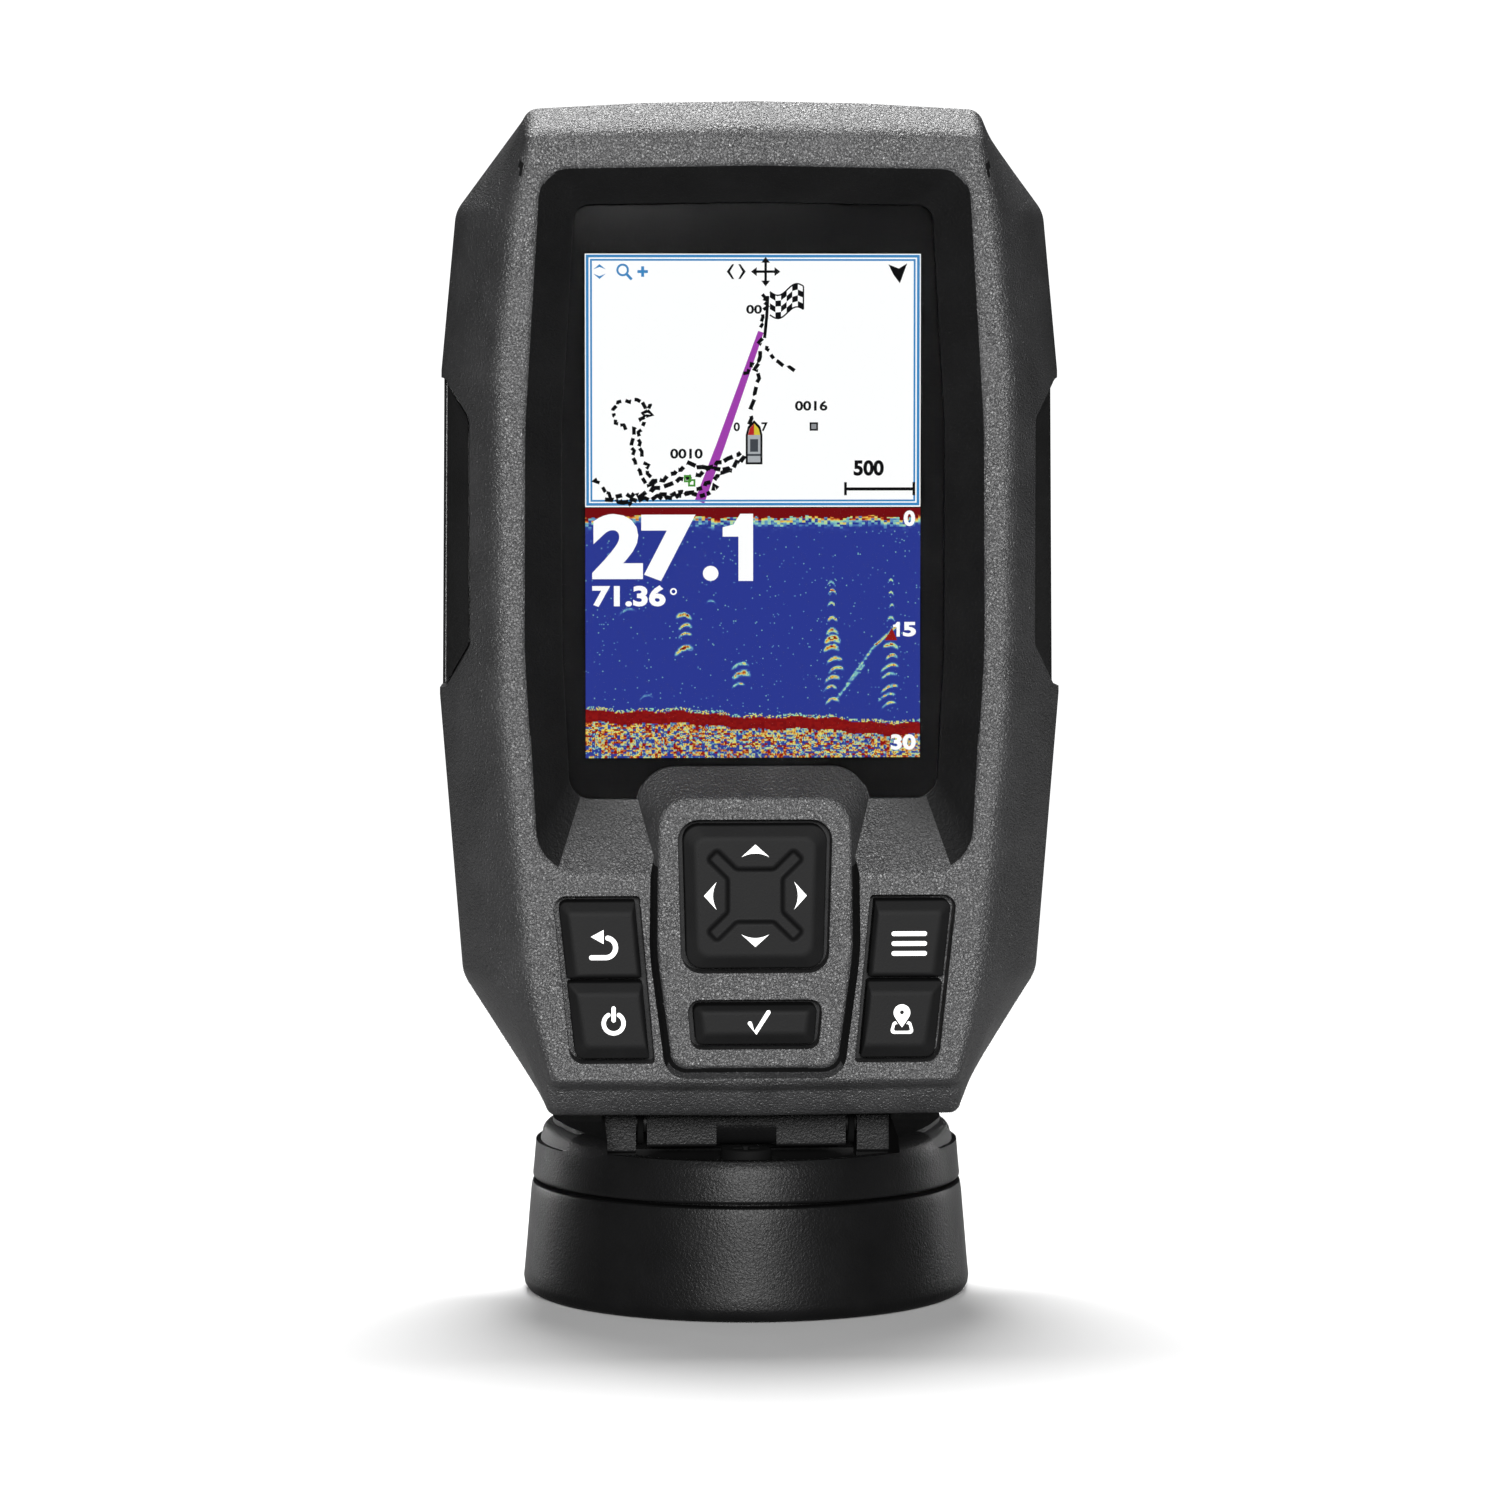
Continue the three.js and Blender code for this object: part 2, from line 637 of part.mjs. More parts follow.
/** The recess round the display, grown by a wall for the shell behind it. */
function displayRecess(wall) {
  return loft([
    [face - (wall ? 0 : 0.01), grown(recessMouth, wall)],
    [lensFront + wall * 0.4, grown(lensOutline, wall)],
    [ledge + wall, grown(lensOutline, wall)],
  ]);
}

const panelWindow = mirrored([
  [SCREEN_WIDTH / 2 + GLASS_SIDE_BORDER + PART_GAP, screenTop + GLASS_TOP_BORDER + PART_GAP, 0.6],
  [SCREEN_WIDTH / 2 + GLASS_SIDE_BORDER + PART_GAP, screenBottom - GLASS_BOTTOM_BORDER - PART_GAP, 0.6],
]);

function frontCase() {
  const shellOfRecess = displayRecess(WALL).subtract(raisedPanel(WALL));
  const hollow = joined(
    frontBody(WALL),
    loft([[parting - 0.1, grown(silhouette, -WALL - 0.3)], [parting + 1, grown(silhouette, -WALL - 0.3)]]),
  );
  const bosses = screwPlaces.flatMap(([x, z]) => {
    const [x0, x1] = x > 0 ? [x, headHalf] : [-headHalf, x];
    return [rodY(x, z, BOSS_RADIUS, widest - 4, parting), block(x0, x1, widest - 4, parting, z - 0.8, z + 0.8)];
  });
  const pilots = screwPlaces.map(([x, z]) => rodY(x, z, SCREW_RADIUS + 0.1, widest - 2, parting + 1, 12));
  const groove = plate(grown(panelOutline, GROOVE_WIDTH), face - 1, face + GROOVE_DEPTH)
    .subtract(plate(panelOutline, face - 2, face + GROOVE_DEPTH + 1))
    .intersect(block(-headHalf, headHalf, face - 1, parting, headBottom, recessBottom + 1));
  const bossesInside = joined(...bosses).intersect(frontBody(0));
  const shell = joined(frontBody(0).subtract(hollow.subtract(shellOfRecess)), bossesInside);
  return without(
    shell,
    displayRecess(0).subtract(raisedPanel(0)),
    groove,
    plate(panelWindow, lensBack + 0.1, ledge + WALL + 2),
    plate(dpadOpening, face - 1, faceInside + 1),
    plate(selectOpening, face - 1, faceInside + 1),
    ...[-1, 1].map((side) => plate(pairOpening(side), face - 1, faceInside + 1)),
    ...[-1, 1].map((side) => plate(notchCorners(side), face - 1, parting + 1)),
    ...pilots,
  );
}

/** The part of the rear case that fills the grip notch in one wing. */
function gripFlank(side) {
  const fits = plate(grown(notchCorners(side), -PART_GAP), face, parting + 2);
  const skin = loft([
    [face + 1.2, grown(faceOutline, -0.6)],
    [widest + 1.2, grown(silhouette, -0.8)],
    [parting + 2, grown(silhouette, -0.8)],
  ]);
  return fits.intersect(skin);
}

/** The solid shape of the rear case, with the cut-away at its foot. */
function rearBody(inset) {
  const body = loft([
    [parting + (inset ? -1 : 0), grown(silhouette, -0.3 - inset)],
    [parting + 9, grown(silhouette, -1.3 - inset)],
    [back - 4 - inset * 0.4, grown(silhouette, -4 - inset)],
    [back - inset, grown(silhouette, -8.5 - inset)],
  ]);
  const rise = chamferTop + inset * 1.3 - headBottom;
  const footCut = across(
    [
      [parting - 1, headBottom - 20],
      [parting - 1, headBottom - 0.5 + inset * 1.3],
      [parting, headBottom + inset * 1.3],
      [back, headBottom + rise],
      [back + 20, headBottom + rise * 1.6],
      [back + 20, headBottom - 20],
    ],
    -headHalf,
    headHalf,
  );
  return body.subtract(footCut);
}

/** The channel for the cradle's tongue, open at the foot and undercut for its rails. */
function dockChannel(wall) {
  const half = TONGUE_WIDTH / 2 + DOCK_CLEARANCE + wall;
  const railHalf = half + RAIL_WIDTH;
  const top = dockTop + DOCK_CLEARANCE + wall;
  const floor = dockFloor - wall;
  const railTop = dockFloor + RAIL_THICK + 2 * DOCK_CLEARANCE + (wall ? 2 : 0);
  return joined(
    block(-half, half, floor, back + 1, headBottom, top),
    block(-railHalf, railHalf, floor, railTop, headBottom, top),
  );
}

function rearCase() {
  const hollow = rearBody(WALL).subtract(dockChannel(WALL));
  const posts = screwPlaces.map(([x, z]) => rodY(x, z, SCREW_HEAD_RADIUS + 1.6, parting, back));
  const postsInside = joined(...posts).intersect(rearBody(0));
  const sealGroove = plate(grown(silhouette, -WALL - 0.2), parting - 1, parting + SEAL_SIZE)
    .subtract(plate(grown(silhouette, -WALL - 0.2 - SEAL_SIZE - 0.2), parting - 2, parting + SEAL_SIZE + 1));
  const seat = plate(grown(silhouette, -0.4), parting, parting + SEAL_SIZE + 1.4)
    .subtract(plate(grown(silhouette, -WALL - SEAL_SIZE - 1.4), parting - 1, parting + SEAL_SIZE + 2))
    .intersect(rearBody(0));
  const shell = joined(rearBody(0).subtract(hollow), seat, postsInside, gripFlank(1), gripFlank(-1));
  return without(
    shell,
    sealGroove,
    dockChannel(0),
    ...screwPlaces.map(([x, z]) => rodY(x, z, SCREW_RADIUS + 0.2, parting - 1, screwSeat + 1, 12)),
    ...screwPlaces.map(([x, z]) => rodY(x, z, SCREW_HEAD_RADIUS + 0.3, screwSeat, back + 1)),
    rodY(0, socketHeight, SOCKET_RADIUS + PART_GAP, back - 8, back + 1, 24),
  );
}

function caseSeal() {
  const outer = grown(silhouette, -WALL - 0.3);
  const inner = grown(silhouette, -WALL - 0.3 - SEAL_SIZE + 0.1);
  return plate(outer, parting + 0.1, parting + SEAL_SIZE - 0.1, 2)
    .subtract(plate(inner, parting - 1, parting + SEAL_SIZE + 1, 2));
}

/** A pan-head screw along Y, its head at the back, with the seat of the head at the origin. */
function caseScrew() {
  const shank = rodY(0, 0, SCREW_RADIUS, -SCREW_LENGTH, 0.5, 10);
  const head = rodY(0, 0, SCREW_HEAD_RADIUS, 0, 1.9, SMALL_ROUND);
  const drive = joined(block(-1.5, 1.5, 1.1, 3, -0.35, 0.35), block(-0.35, 0.35, 1.1, 3, -1.5, 1.5));
  return joined(shank, head).subtract(drive);
}

/** The lens, with the notch that clears the raised key panel. */
function lens() {
  const outline = grown(lensOutline, -0.15);
  return plate(outline, lensFront, lensBack)
    .subtract(plate(grown(panelFootOutline, PART_GAP), lensFront - 1, lensBack + 1));
}

function lensTape() {
  const half = SCREEN_WIDTH / 2 + GLASS_SIDE_BORDER + PART_GAP;
  const window = mirrored([
    [half, screenTop + GLASS_TOP_BORDER + PART_GAP, 0.6],
    [half, headBottom, 0.6],
  ]);
  return plate(grown(lensOutline, -0.2), lensBack + 0.05, lensBack + 0.05 + TAPE_THICK, 2)
    .subtract(plate(window, lensBack - 1, lensBack + 2, 1));
}

const glassHalf = SCREEN_WIDTH / 2 + GLASS_SIDE_BORDER;
const glassBottom = screenBottom - GLASS_BOTTOM_BORDER;
const glassTop = screenTop + GLASS_TOP_BORDER;

function displayPanel() {
  return block(-glassHalf, glassHalf, panelFront, panelBack, glassBottom, glassTop);
}

function backlight() {
  const start = panelBack + 0.1;
  return block(-glassHalf + 0.6, glassHalf - 0.6, start, start + BACKLIGHT_THICK, glassBottom + 0.6, glassTop - 0.6);
}

/** The metal tray that holds the backlight to the display panel. */
function displayTray() {
  const front = ledge + WALL + 0.1;
  const rear = panelBack + 0.1 + BACKLIGHT_THICK + 0.2;
  const half = glassHalf + 1.0;
  const tray = block(-half, half, front, rear + 0.8, glassBottom - 1, glassTop + 1);
  return tray.subtract(
    block(-glassHalf - 0.15, glassHalf + 0.15, face, rear, glassBottom - 0.15, glassTop + 0.15),
  );
}

function mainBoard() {
  const half = glassHalf + 2;
  const body = mirrored([[half, glassTop + 5.5, 2], [half, glassBottom - 4, 2]]);
  return plate(body, mainBoardFront, mainBoardBack, 2);
}

/** The housing of the power and transducer socket, with its flange inside the rear case. */
function socketShell() {
  const rear = back - 1.0;
  const flange = rodY(0, socketHeight, SOCKET_RADIUS + 2.4, back - WALL - 4.2, back - WALL - 2.2, 24);
  const body = rodY(0, socketHeight, SOCKET_RADIUS, mainBoardBack + 3, rear, 24);
  const bore = rodY(0, socketHeight, SOCKET_RADIUS - SOCKET_WALL, rear - SOCKET_DEPTH, rear + 1, 24);
  const key = block(-0.9, 0.9, rear - SOCKET_DEPTH, rear - 0.6, socketHeight + 4.9, socketHeight + 7.2);
  const contacts = contactPlaces.map(([x, z]) => rodY(x, z, CONTACT_RADIUS + 0.05, mainBoardBack, back, 8));
  return joined(body, flange).subtract(bore).add(key).subtract(joined(...contacts));
}

const contactPlaces = [45, 135, 225, 315].map((degrees) => {
  const turn = THREE.MathUtils.degToRad(degrees);
  return [CONTACT_CIRCLE * Math.cos(turn), socketHeight + CONTACT_CIRCLE * Math.sin(turn)];
});

function socketSeal() {
  const start = back - WALL - 2.1;
  return rodY(0, socketHeight, SOCKET_RADIUS + 2.0, start, start + 1.2, 24)
    .subtract(rodY(0, socketHeight, SOCKET_RADIUS + 0.2, start - 1, start + 2, 24));
}

/** One contact of the socket, centred on the origin, from the board to its tip. */
function contact() {
  const tip = back - 1.0 - SOCKET_DEPTH + CONTACT_LENGTH;
  return rodY(0, 0, CONTACT_RADIUS, mainBoardBack + 1.5, tip, 8);
}

/** The patch antenna above the display, on the front of the main board. */
function positioningAntenna() {
  return block(-9, 9, mainBoardFront - 4.2, mainBoardFront - 0.1, glassTop + 1.3, glassTop + 5.3);
}

/** A four-legged shield can on the back of the main board. */
function shieldCan(x, z, width, height) {
  return block(x - width / 2, x + width / 2, mainBoardBack + 0.1, mainBoardBack + 2.4, z - height / 2, z + height / 2);
}

// ---------------------------------------------------------------- mount

const coneAt = (z) => BASE_RADIUS - CONE_TAPER * Math.max(z - 2, 0);

function deckPad() {
  const holes = deckHoles(DECK_HOLE_RADIUS + 0.5, -1, PAD_THICK + 1);
  return turned(discProfile(BASE_RADIUS - 3, 0, PAD_THICK)).subtract(holes);
}

function deckHoles(radius, z0, z1) {
  const holes = [90, 210, 330].map((degrees) => {
    const turn = THREE.MathUtils.degToRad(degrees);
    return rodZ(DECK_HOLE_CIRCLE * Math.cos(turn), DECK_HOLE_CIRCLE * Math.sin(turn), radius, z0, z1);
  });
  return joined(...holes);
}

/** The fixed base: a tapered cup with a floor for the deck screws and a spindle for the turret. */
function mountBase() {
  const floorUnder = PAD_THICK + 0.1;
  const floorTop = floorUnder + BASE_FLOOR;
  const inside = BASE_RADIUS - BASE_WALL - 1.2;
  const spindleTop = BASE_HEIGHT - 2.6;
  const cup = turned([
    [0, floorUnder],
    [BASE_RADIUS - 2.8, floorUnder],
    [BASE_RADIUS - 2.8, PAD_LIFT],
    [BASE_RADIUS - 2, PAD_LIFT],
    [BASE_RADIUS - 0.6, PAD_LIFT + 0.6],
    [BASE_RADIUS, PAD_LIFT + 2],
    [coneAt(BASE_HEIGHT), BASE_HEIGHT],
    [inside, BASE_HEIGHT],
    [inside, floorTop],
    [SPINDLE_RADIUS, floorTop],
    [SPINDLE_RADIUS, spindleTop],
    [0, spindleTop],
  ]);
  return without(
    cup,
    deckHoles(DECK_HOLE_RADIUS, -1, floorTop + 1),
    deckHoles(DECK_HOLE_RADIUS * 1.9, floorTop - 1.2, floorTop + 1),
    rodZ(0, 0, SPINDLE_BOLT_RADIUS - 0.1, spindleTop - 8, spindleTop + 1),
  );
}

const collarRadius = BASE_RADIUS - BASE_WALL - 1.2 - PART_GAP;
const wellHalf = BARREL_WIDTH / 2 + WASHER_THICK + 2 * HINGE_SIDE_GAP + LUG_WIDTH;
const wellFloor = seamTop + TURRET_FLOOR - 1.0;
const lipHeight = BASE_HEIGHT + FRONT_LIP_HEIGHT;

/** The turret: a tapered cap that turns on the base, with a well between its shoulders for the hinge. */
function turret() {
  const top = turretTop;
  const cap = turned([
    [0, BASE_HEIGHT - 1.2],
    [collarRadius - 3, BASE_HEIGHT - 1.2],
    [collarRadius - 3, BASE_HEIGHT - 4],
    [collarRadius, BASE_HEIGHT - 4],
    [collarRadius, seamTop],
    [coneAt(seamTop) - 0.1, seamTop],
    [coneAt(top - 1.6) - 0.1, top - 1.6],
    [coneAt(top) - 0.6, top - 0.5],
    [coneAt(top) - 1.7, top],
    [0, top],
  ]);
  const wide = BASE_RADIUS + 2;
  const lipInside = -Math.sqrt(coneAt(lipHeight) ** 2 - wellHalf ** 2) + 0.5;
  const well = joined(
    block(-wellHalf, wellHalf, lipInside, wide, wellFloor, top + 1),
    block(-wellHalf, wellHalf, -wide, wide, lipHeight, top + 1),
  );
  const frontSlope = across([[-wide, lipHeight + 0.6], [-8, top], [-8, top + 3], [-wide, top + 3]], -wide, wide);
  const grips = [-1, 1].map((side) => gripSlot(side));
  const lugs = [-1, 1].map((side) => lug(side));
  const boltHole = rodZ(0, 0, SPINDLE_BOLT_RADIUS + 0.2, 0, top);
  const boltSeat = rodZ(0, 0, SPINDLE_BOLT_RADIUS * 2 + 1.2, wellFloor - 1.2, top);
  const pinBore = rodX(HINGE_BACK, HINGE_LIFT, PIN_RADIUS + PIN_CLEARANCE, -wide, wide);
  const body = joined(without(cap, well, frontSlope), ...lugs);
  const shoulderKeeps = block(-wellHalf - 4, wellHalf + 4, -wide, wide, 0, top + 10);
  return without(body, ...grips, boltHole, boltSeat, pinBore.intersect(shoulderKeeps));
}

/** A shallow slot round one side of the turret, for finger and thumb. */
function gripSlot(side) {
  const high = turretTop - 0.9;
  const radius = coneAt(high);
  const ring = turned(ringProfile(radius - GRIP_DEPTH, radius + 3, high - GRIP_HEIGHT, high));
  const reach = radius * 0.6;
  const [x0, x1] = side > 0 ? [0, radius + 4] : [-radius - 4, 0];
  return ring.intersect(block(x0, x1, -reach, reach, 0, turretTop + 5));
}

/** One lug of the hinge, standing on the floor of the well. */
function lug(side) {
  const inner = BARREL_WIDTH / 2 + WASHER_THICK + 2 * HINGE_SIDE_GAP;
  const outer = inner + LUG_WIDTH - 0.02;
  const [x0, x1] = side > 0 ? [inner, outer + 0.5] : [-outer - 0.5, -inner];
  const eye = rodX(HINGE_BACK, HINGE_LIFT, LUG_RADIUS, x0, x1, 20);
  const foot = block(x0, x1, HINGE_BACK - LUG_RADIUS, HINGE_BACK + LUG_RADIUS, wellFloor - 0.5, HINGE_LIFT);
  return joined(eye, foot);
}

function hingePin() {
  const reach = BARREL_WIDTH / 2 + WASHER_THICK + 2 * HINGE_SIDE_GAP + LUG_WIDTH + 2;
  return rodX(HINGE_BACK, HINGE_LIFT, PIN_RADIUS, -reach, reach);
}

/** A friction washer between the barrel and one lug, centred on the hinge axis. */
function hingeWasher() {
  return rodX(0, 0, BARREL_RADIUS - 0.4, -WASHER_THICK / 2, WASHER_THICK / 2, 20)
    .subtract(rodX(0, 0, PIN_RADIUS + PIN_CLEARANCE, -2, 2));
}

const boltHeadSeat = wellFloor - 1.2 + 0.9;

/** The bolt that holds the turret down on the spindle. */
function swivelBolt() {
  const shank = rodZ(0, 0, SPINDLE_BOLT_RADIUS - 0.3, BASE_HEIGHT - 9, boltHeadSeat + 0.5, 12);
  const head = rodZ(0, 0, SPINDLE_BOLT_RADIUS * 2 - 0.2, boltHeadSeat, boltHeadSeat + 2.0, SMALL_ROUND);
  const drive = joined(
    block(-2, 2, -0.45, 0.45, boltHeadSeat + 1, boltHeadSeat + 4),
    block(-0.45, 0.45, -2, 2, boltHeadSeat + 1, boltHeadSeat + 4),
  );
  return joined(shank, head).subtract(drive);
}

function boltWasher() {
  const z0 = wellFloor - 1.2 + 0.1;
  return turned(ringProfile(SPINDLE_BOLT_RADIUS + 0.1, SPINDLE_BOLT_RADIUS * 2 + 0.7, z0, z0 + 0.7), 20);
}

function swivelRing() {
  return turned(ringProfile(SPINDLE_RADIUS - 4.5, SPINDLE_RADIUS - 0.3, BASE_HEIGHT - 2.5, BASE_HEIGHT - 1.3), 24);
}

// ---------------------------------------------------------------- cradle

const tongueBack = back - DOCK_CLEARANCE;
const tongueFront = tongueBack - TONGUE_THICK;

/** The cradle: the hinge barrel, the arm that passes under the head, and the tongue that fills the dock. */
function cradle() {
  const heel = chamferTop - 3.5;
  const arm = across(
    [
      [HINGE_BACK - 2.8, HINGE_LIFT + 2.4],
      [tongueFront, heel - 3.2],
      [tongueFront, dockTop],
      [tongueBack, dockTop],
      [tongueBack, heel],
      [tongueBack + 2.6, heel - 3.4],
      [tongueBack + 2.6, heel - 9.5],
      [HINGE_BACK + 3.0, HINGE_LIFT - 2.0],
    ],
    -BARREL_WIDTH / 2,
    BARREL_WIDTH / 2,
  );
  const plateHalf = TONGUE_WIDTH / 2;
  const tongue = block(-plateHalf, plateHalf, tongueFront, tongueBack, chamferTop - 2, dockTop);
  const rails = block(
    -plateHalf - RAIL_WIDTH, plateHalf + RAIL_WIDTH,
    tongueFront, tongueFront + RAIL_THICK,
    chamferTop, dockTop - 3,
  );
  const barrel = rodX(HINGE_BACK, HINGE_LIFT, BARREL_RADIUS, -BARREL_WIDTH / 2, BARREL_WIDTH / 2, 20);
  const bore = rodX(HINGE_BACK, HINGE_LIFT, PIN_RADIUS + PIN_CLEARANCE, -40, 40);
  return joined(arm, tongue, rails, barrel).subtract(bore);
}

// ---------------------------------------------------------------- assembly

const base = group(
  part("deck_pad", deckPad(), "rubber"),
  part("mount_base", mountBase(), "casingDark"),
  part("swivel_bolt", swivelBolt(), "metal"),
  part("bolt_washer", boltWasher(), "metal"),
  part("swivel_ring", swivelRing(), "rubber"),
);

const washerPlace = BARREL_WIDTH / 2 + HINGE_SIDE_GAP + WASHER_THICK / 2;
const swivel = group(
  part("turret", turret(), "casingDark"),
  part("hinge_pin", hingePin(), "metal"),
  part("hinge_washer_left", hingeWasher(), "rubber", [-washerPlace, HINGE_BACK, HINGE_LIFT]),
  part("hinge_washer_right", hingeWasher(), "rubber", [washerPlace, HINGE_BACK, HINGE_LIFT]),
);

const keys = group(
  part("four_way_pivot", keyPivot(), "rubber"),
  part("four_way_key", fourWayKey(), "key"),
  part("select_key", keyCap(selectOpening), "key"),
  part("back_key", pairKey(-1, true), "key"),
  part("power_key", pairKey(-1, false), "key"),
  part("menu_key", pairKey(1, true), "key"),
  part("mark_key", pairKey(1, false), "key"),
);

const head = group(
  part("front_case", frontCase(), "casing"),
  part("rear_case", rearCase(), "casingDark"),
  part("lens", lens(), "glass"),
  part("lens_tape", lensTape(), "rubber"),
  part("display_panel", displayPanel(), "display"),
  part("backlight", backlight(), "white"),
  part("display_tray", displayTray(), "metal"),
  part("key_mat", keyMat(), "rubber"),
  part("dome_sheet", domeSheet(), "metal"),
  part("key_board", keyDeck(boardFront, boardBack, 2.0), "board"),
  part("main_board", mainBoard(), "board"),
  part("sonar_shield", shieldCan(0, screenTop - 9, 34, 20), "metal"),
  part("processor_shield", shieldCan(0, screenBottom + 18, 26, 22), "metal"),
  part("positioning_antenna", positioningAntenna(), "ceramic"),
  part("beeper", rodY(20, screenBottom + 4, 6, mainBoardBack + 0.1, mainBoardBack + 5, 20), "rubber"),
  part("socket_shell", socketShell(), "casingDark"),
  part("socket_seal", socketSeal(), "rubber"),
  part("case_seal", caseSeal(), "rubber"),
  ...contactPlaces.map(([x, z], i) => part(`socket_contact_${i + 1}`, contact(), "gold", [x, 0, z])),
  ...screwPlaces.map(([x, z], i) => part(`case_screw_${i + 1}`, caseScrew(), "metal", [x, screwSeat + 0.1, z])),
  keys,
);

const fishFinder = group(base, swivel, group(part("cradle", cradle(), "casingDark")), head);

export default fishFinder;
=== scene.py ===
"""Looks of the fish finder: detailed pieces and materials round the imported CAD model."""

import math

import bmesh
import bpy
import numpy as np
from mathutils import Matrix, Vector

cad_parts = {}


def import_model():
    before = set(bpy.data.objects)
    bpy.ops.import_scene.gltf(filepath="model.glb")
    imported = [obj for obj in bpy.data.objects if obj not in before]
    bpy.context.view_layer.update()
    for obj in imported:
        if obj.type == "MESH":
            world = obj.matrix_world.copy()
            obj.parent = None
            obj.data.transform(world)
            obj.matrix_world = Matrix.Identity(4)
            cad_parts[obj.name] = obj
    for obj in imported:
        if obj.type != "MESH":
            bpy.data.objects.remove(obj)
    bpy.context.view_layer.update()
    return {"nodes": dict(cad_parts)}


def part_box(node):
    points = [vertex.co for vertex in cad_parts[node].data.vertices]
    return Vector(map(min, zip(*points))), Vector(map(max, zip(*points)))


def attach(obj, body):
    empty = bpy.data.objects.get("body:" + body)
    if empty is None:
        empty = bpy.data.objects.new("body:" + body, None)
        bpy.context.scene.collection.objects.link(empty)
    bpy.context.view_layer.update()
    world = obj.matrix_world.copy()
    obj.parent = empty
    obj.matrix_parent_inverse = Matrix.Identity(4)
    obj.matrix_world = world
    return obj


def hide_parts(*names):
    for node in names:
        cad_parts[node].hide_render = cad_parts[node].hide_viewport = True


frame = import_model()
MM = 0.001


def box_mm(node):
    """A CAD node's lowest and highest corners, in millimetres."""
    low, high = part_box(node)
    return low * 1000, high * 1000


# ---------------------------------------------------------------- sizes in millimetres, as in the part

case_low, case_high = box_mm("front_case")
FACE = case_low.y
PARTING = case_high.y
BACK = box_mm("rear_case")[1].y
HEAD_BOTTOM = case_low.z
HEAD_TOP = case_high.z
HEAD_HALF = case_high.x
LENS_FRONT = box_mm("lens")[0].y
LENS_BACK = box_mm("lens")[1].y
PANEL_FRONT = box_mm("display_panel")[0].y
SCREEN_BOTTOM = box_mm("display_panel")[0].z + 4.0
SCREEN_TOP = box_mm("display_panel")[1].z - 1.7
SCREEN_HALF = box_mm("display_panel")[1].x - 0.9
DPAD_BOTTOM = box_mm("four_way_key")[0].z + 0.5
DPAD_TOP = box_mm("four_way_key")[1].z - 0.5
SOCKET_HEIGHT = (box_mm("socket_shell")[0].z + box_mm("socket_shell")[1].z) / 2
TURRET_TOP = 26.6
CROWN_RADIUS = 2.5
CROWN_DROP = 2.1
CROWN_DROP_FROM = 20.5
BASE_TOP = box_mm("mount_base")[1].z
BASE_RADIUS = box_mm("mount_base")[1].x

BEVEL_BACK = FACE + 5.2
WIDEST = FACE + 15.0
LEDGE = LENS_BACK + 0.5
FACE_BOTTOM = HEAD_BOTTOM + 5.2
FACE_TOP = HEAD_TOP - 5.1
WING_CORNER = HEAD_TOP - 15.8
LOW_CORNER = HEAD_BOTTOM + 20.2
NOTCH_TOP = SCREEN_TOP - 17.0
NOTCH_BOTTOM = SCREEN_BOTTOM + 9.0
FACE_HALF = HEAD_HALF - 9.8
RECESS_HALF = FACE_HALF - 3.0
LENS_HALF = RECESS_HALF - 5.05
LENS_TOP = SCREEN_TOP + 7.5
LENS_BOTTOM = SCREEN_BOTTOM - 6.0
RECESS_TOP = LENS_TOP + 5.4
RECESS_BOTTOM = LENS_BOTTOM - 10.8
PANEL_TOP = DPAD_TOP + 3.1
PANEL_BOTTOM = FACE_BOTTOM + 2.7
PANEL_FOOT = PANEL_TOP + 4.4
SELECT_BOTTOM = PANEL_BOTTOM + 2.6
SELECT_TOP = SELECT_BOTTOM + 7.2
SIDE_KEYS_TOP = RECESS_BOTTOM - 3.0
SIDE_KEYS_BOTTOM = FACE_BOTTOM + 3.3
SIDE_KEYS_SPLIT = (SIDE_KEYS_TOP + SIDE_KEYS_BOTTOM) / 2
DPAD_MIDDLE = (DPAD_TOP + DPAD_BOTTOM) / 2
KEY_GAP = 0.72
KEY_PROUD = 0.88
WELL_HALF = 21.5
WELL_FLOOR = BASE_TOP + 0.5 + 2.2
LIP_HEIGHT = BASE_TOP + 6.7
WELL_BACK = 13.0
HINGE = (3.0, 25.0)
LUG_BOTTOM = 20.9
BARREL_BOTTOM = 21.7
BARREL_HALF = 15.2
HINGE_WASHER = 0.9
LUG_DEPTH = 4.0
PIN_BORE = 1.65
BOLT_TOP = box_mm("swivel_bolt")[1].z
BOLT_HEAD = box_mm("swivel_bolt")[1].x
GRIP_LOW = 23.1
GRIP_REACH = 15.8
GRIP_DEPTH = 0.7
GRIP_INNER = 29.2


# ---------------------------------------------------------------- outlines


def mirrored(right):
    return right + [(-x, z, r) for x, z, r in reversed(right) if x > 0]


def grown(corners, distance):
    """The corners moved out by distance, or in where it is negative, with their radii following."""
    pts = np.array([(c[0], c[1]) for c in corners], float)
    area = np.sum(pts[:, 0] * np.roll(pts[:, 1], -1) - np.roll(pts[:, 0], -1) * pts[:, 1])
    side = 1.0 if area > 0 else -1.0
    made = []
    for i, (x, z, r) in enumerate(corners):
        into = pts[i] - pts[i - 1]
        out = pts[(i + 1) % len(pts)] - pts[i]
        into, out = into / np.linalg.norm(into), out / np.linalg.norm(out)
        n_in = np.array([into[1], -into[0]]) * side
        n_out = np.array([out[1], -out[0]]) * side
        reach = distance / (1 + n_in @ n_out)
        convex = (into[0] * out[1] - into[1] * out[0]) * side > 0
        radius = max(r + (distance if convex else -distance), 0.25) if r > 0 else 0
        made.append((x + (n_in[0] + n_out[0]) * reach, z + (n_in[1] + n_out[1]) * reach, radius))
    return made


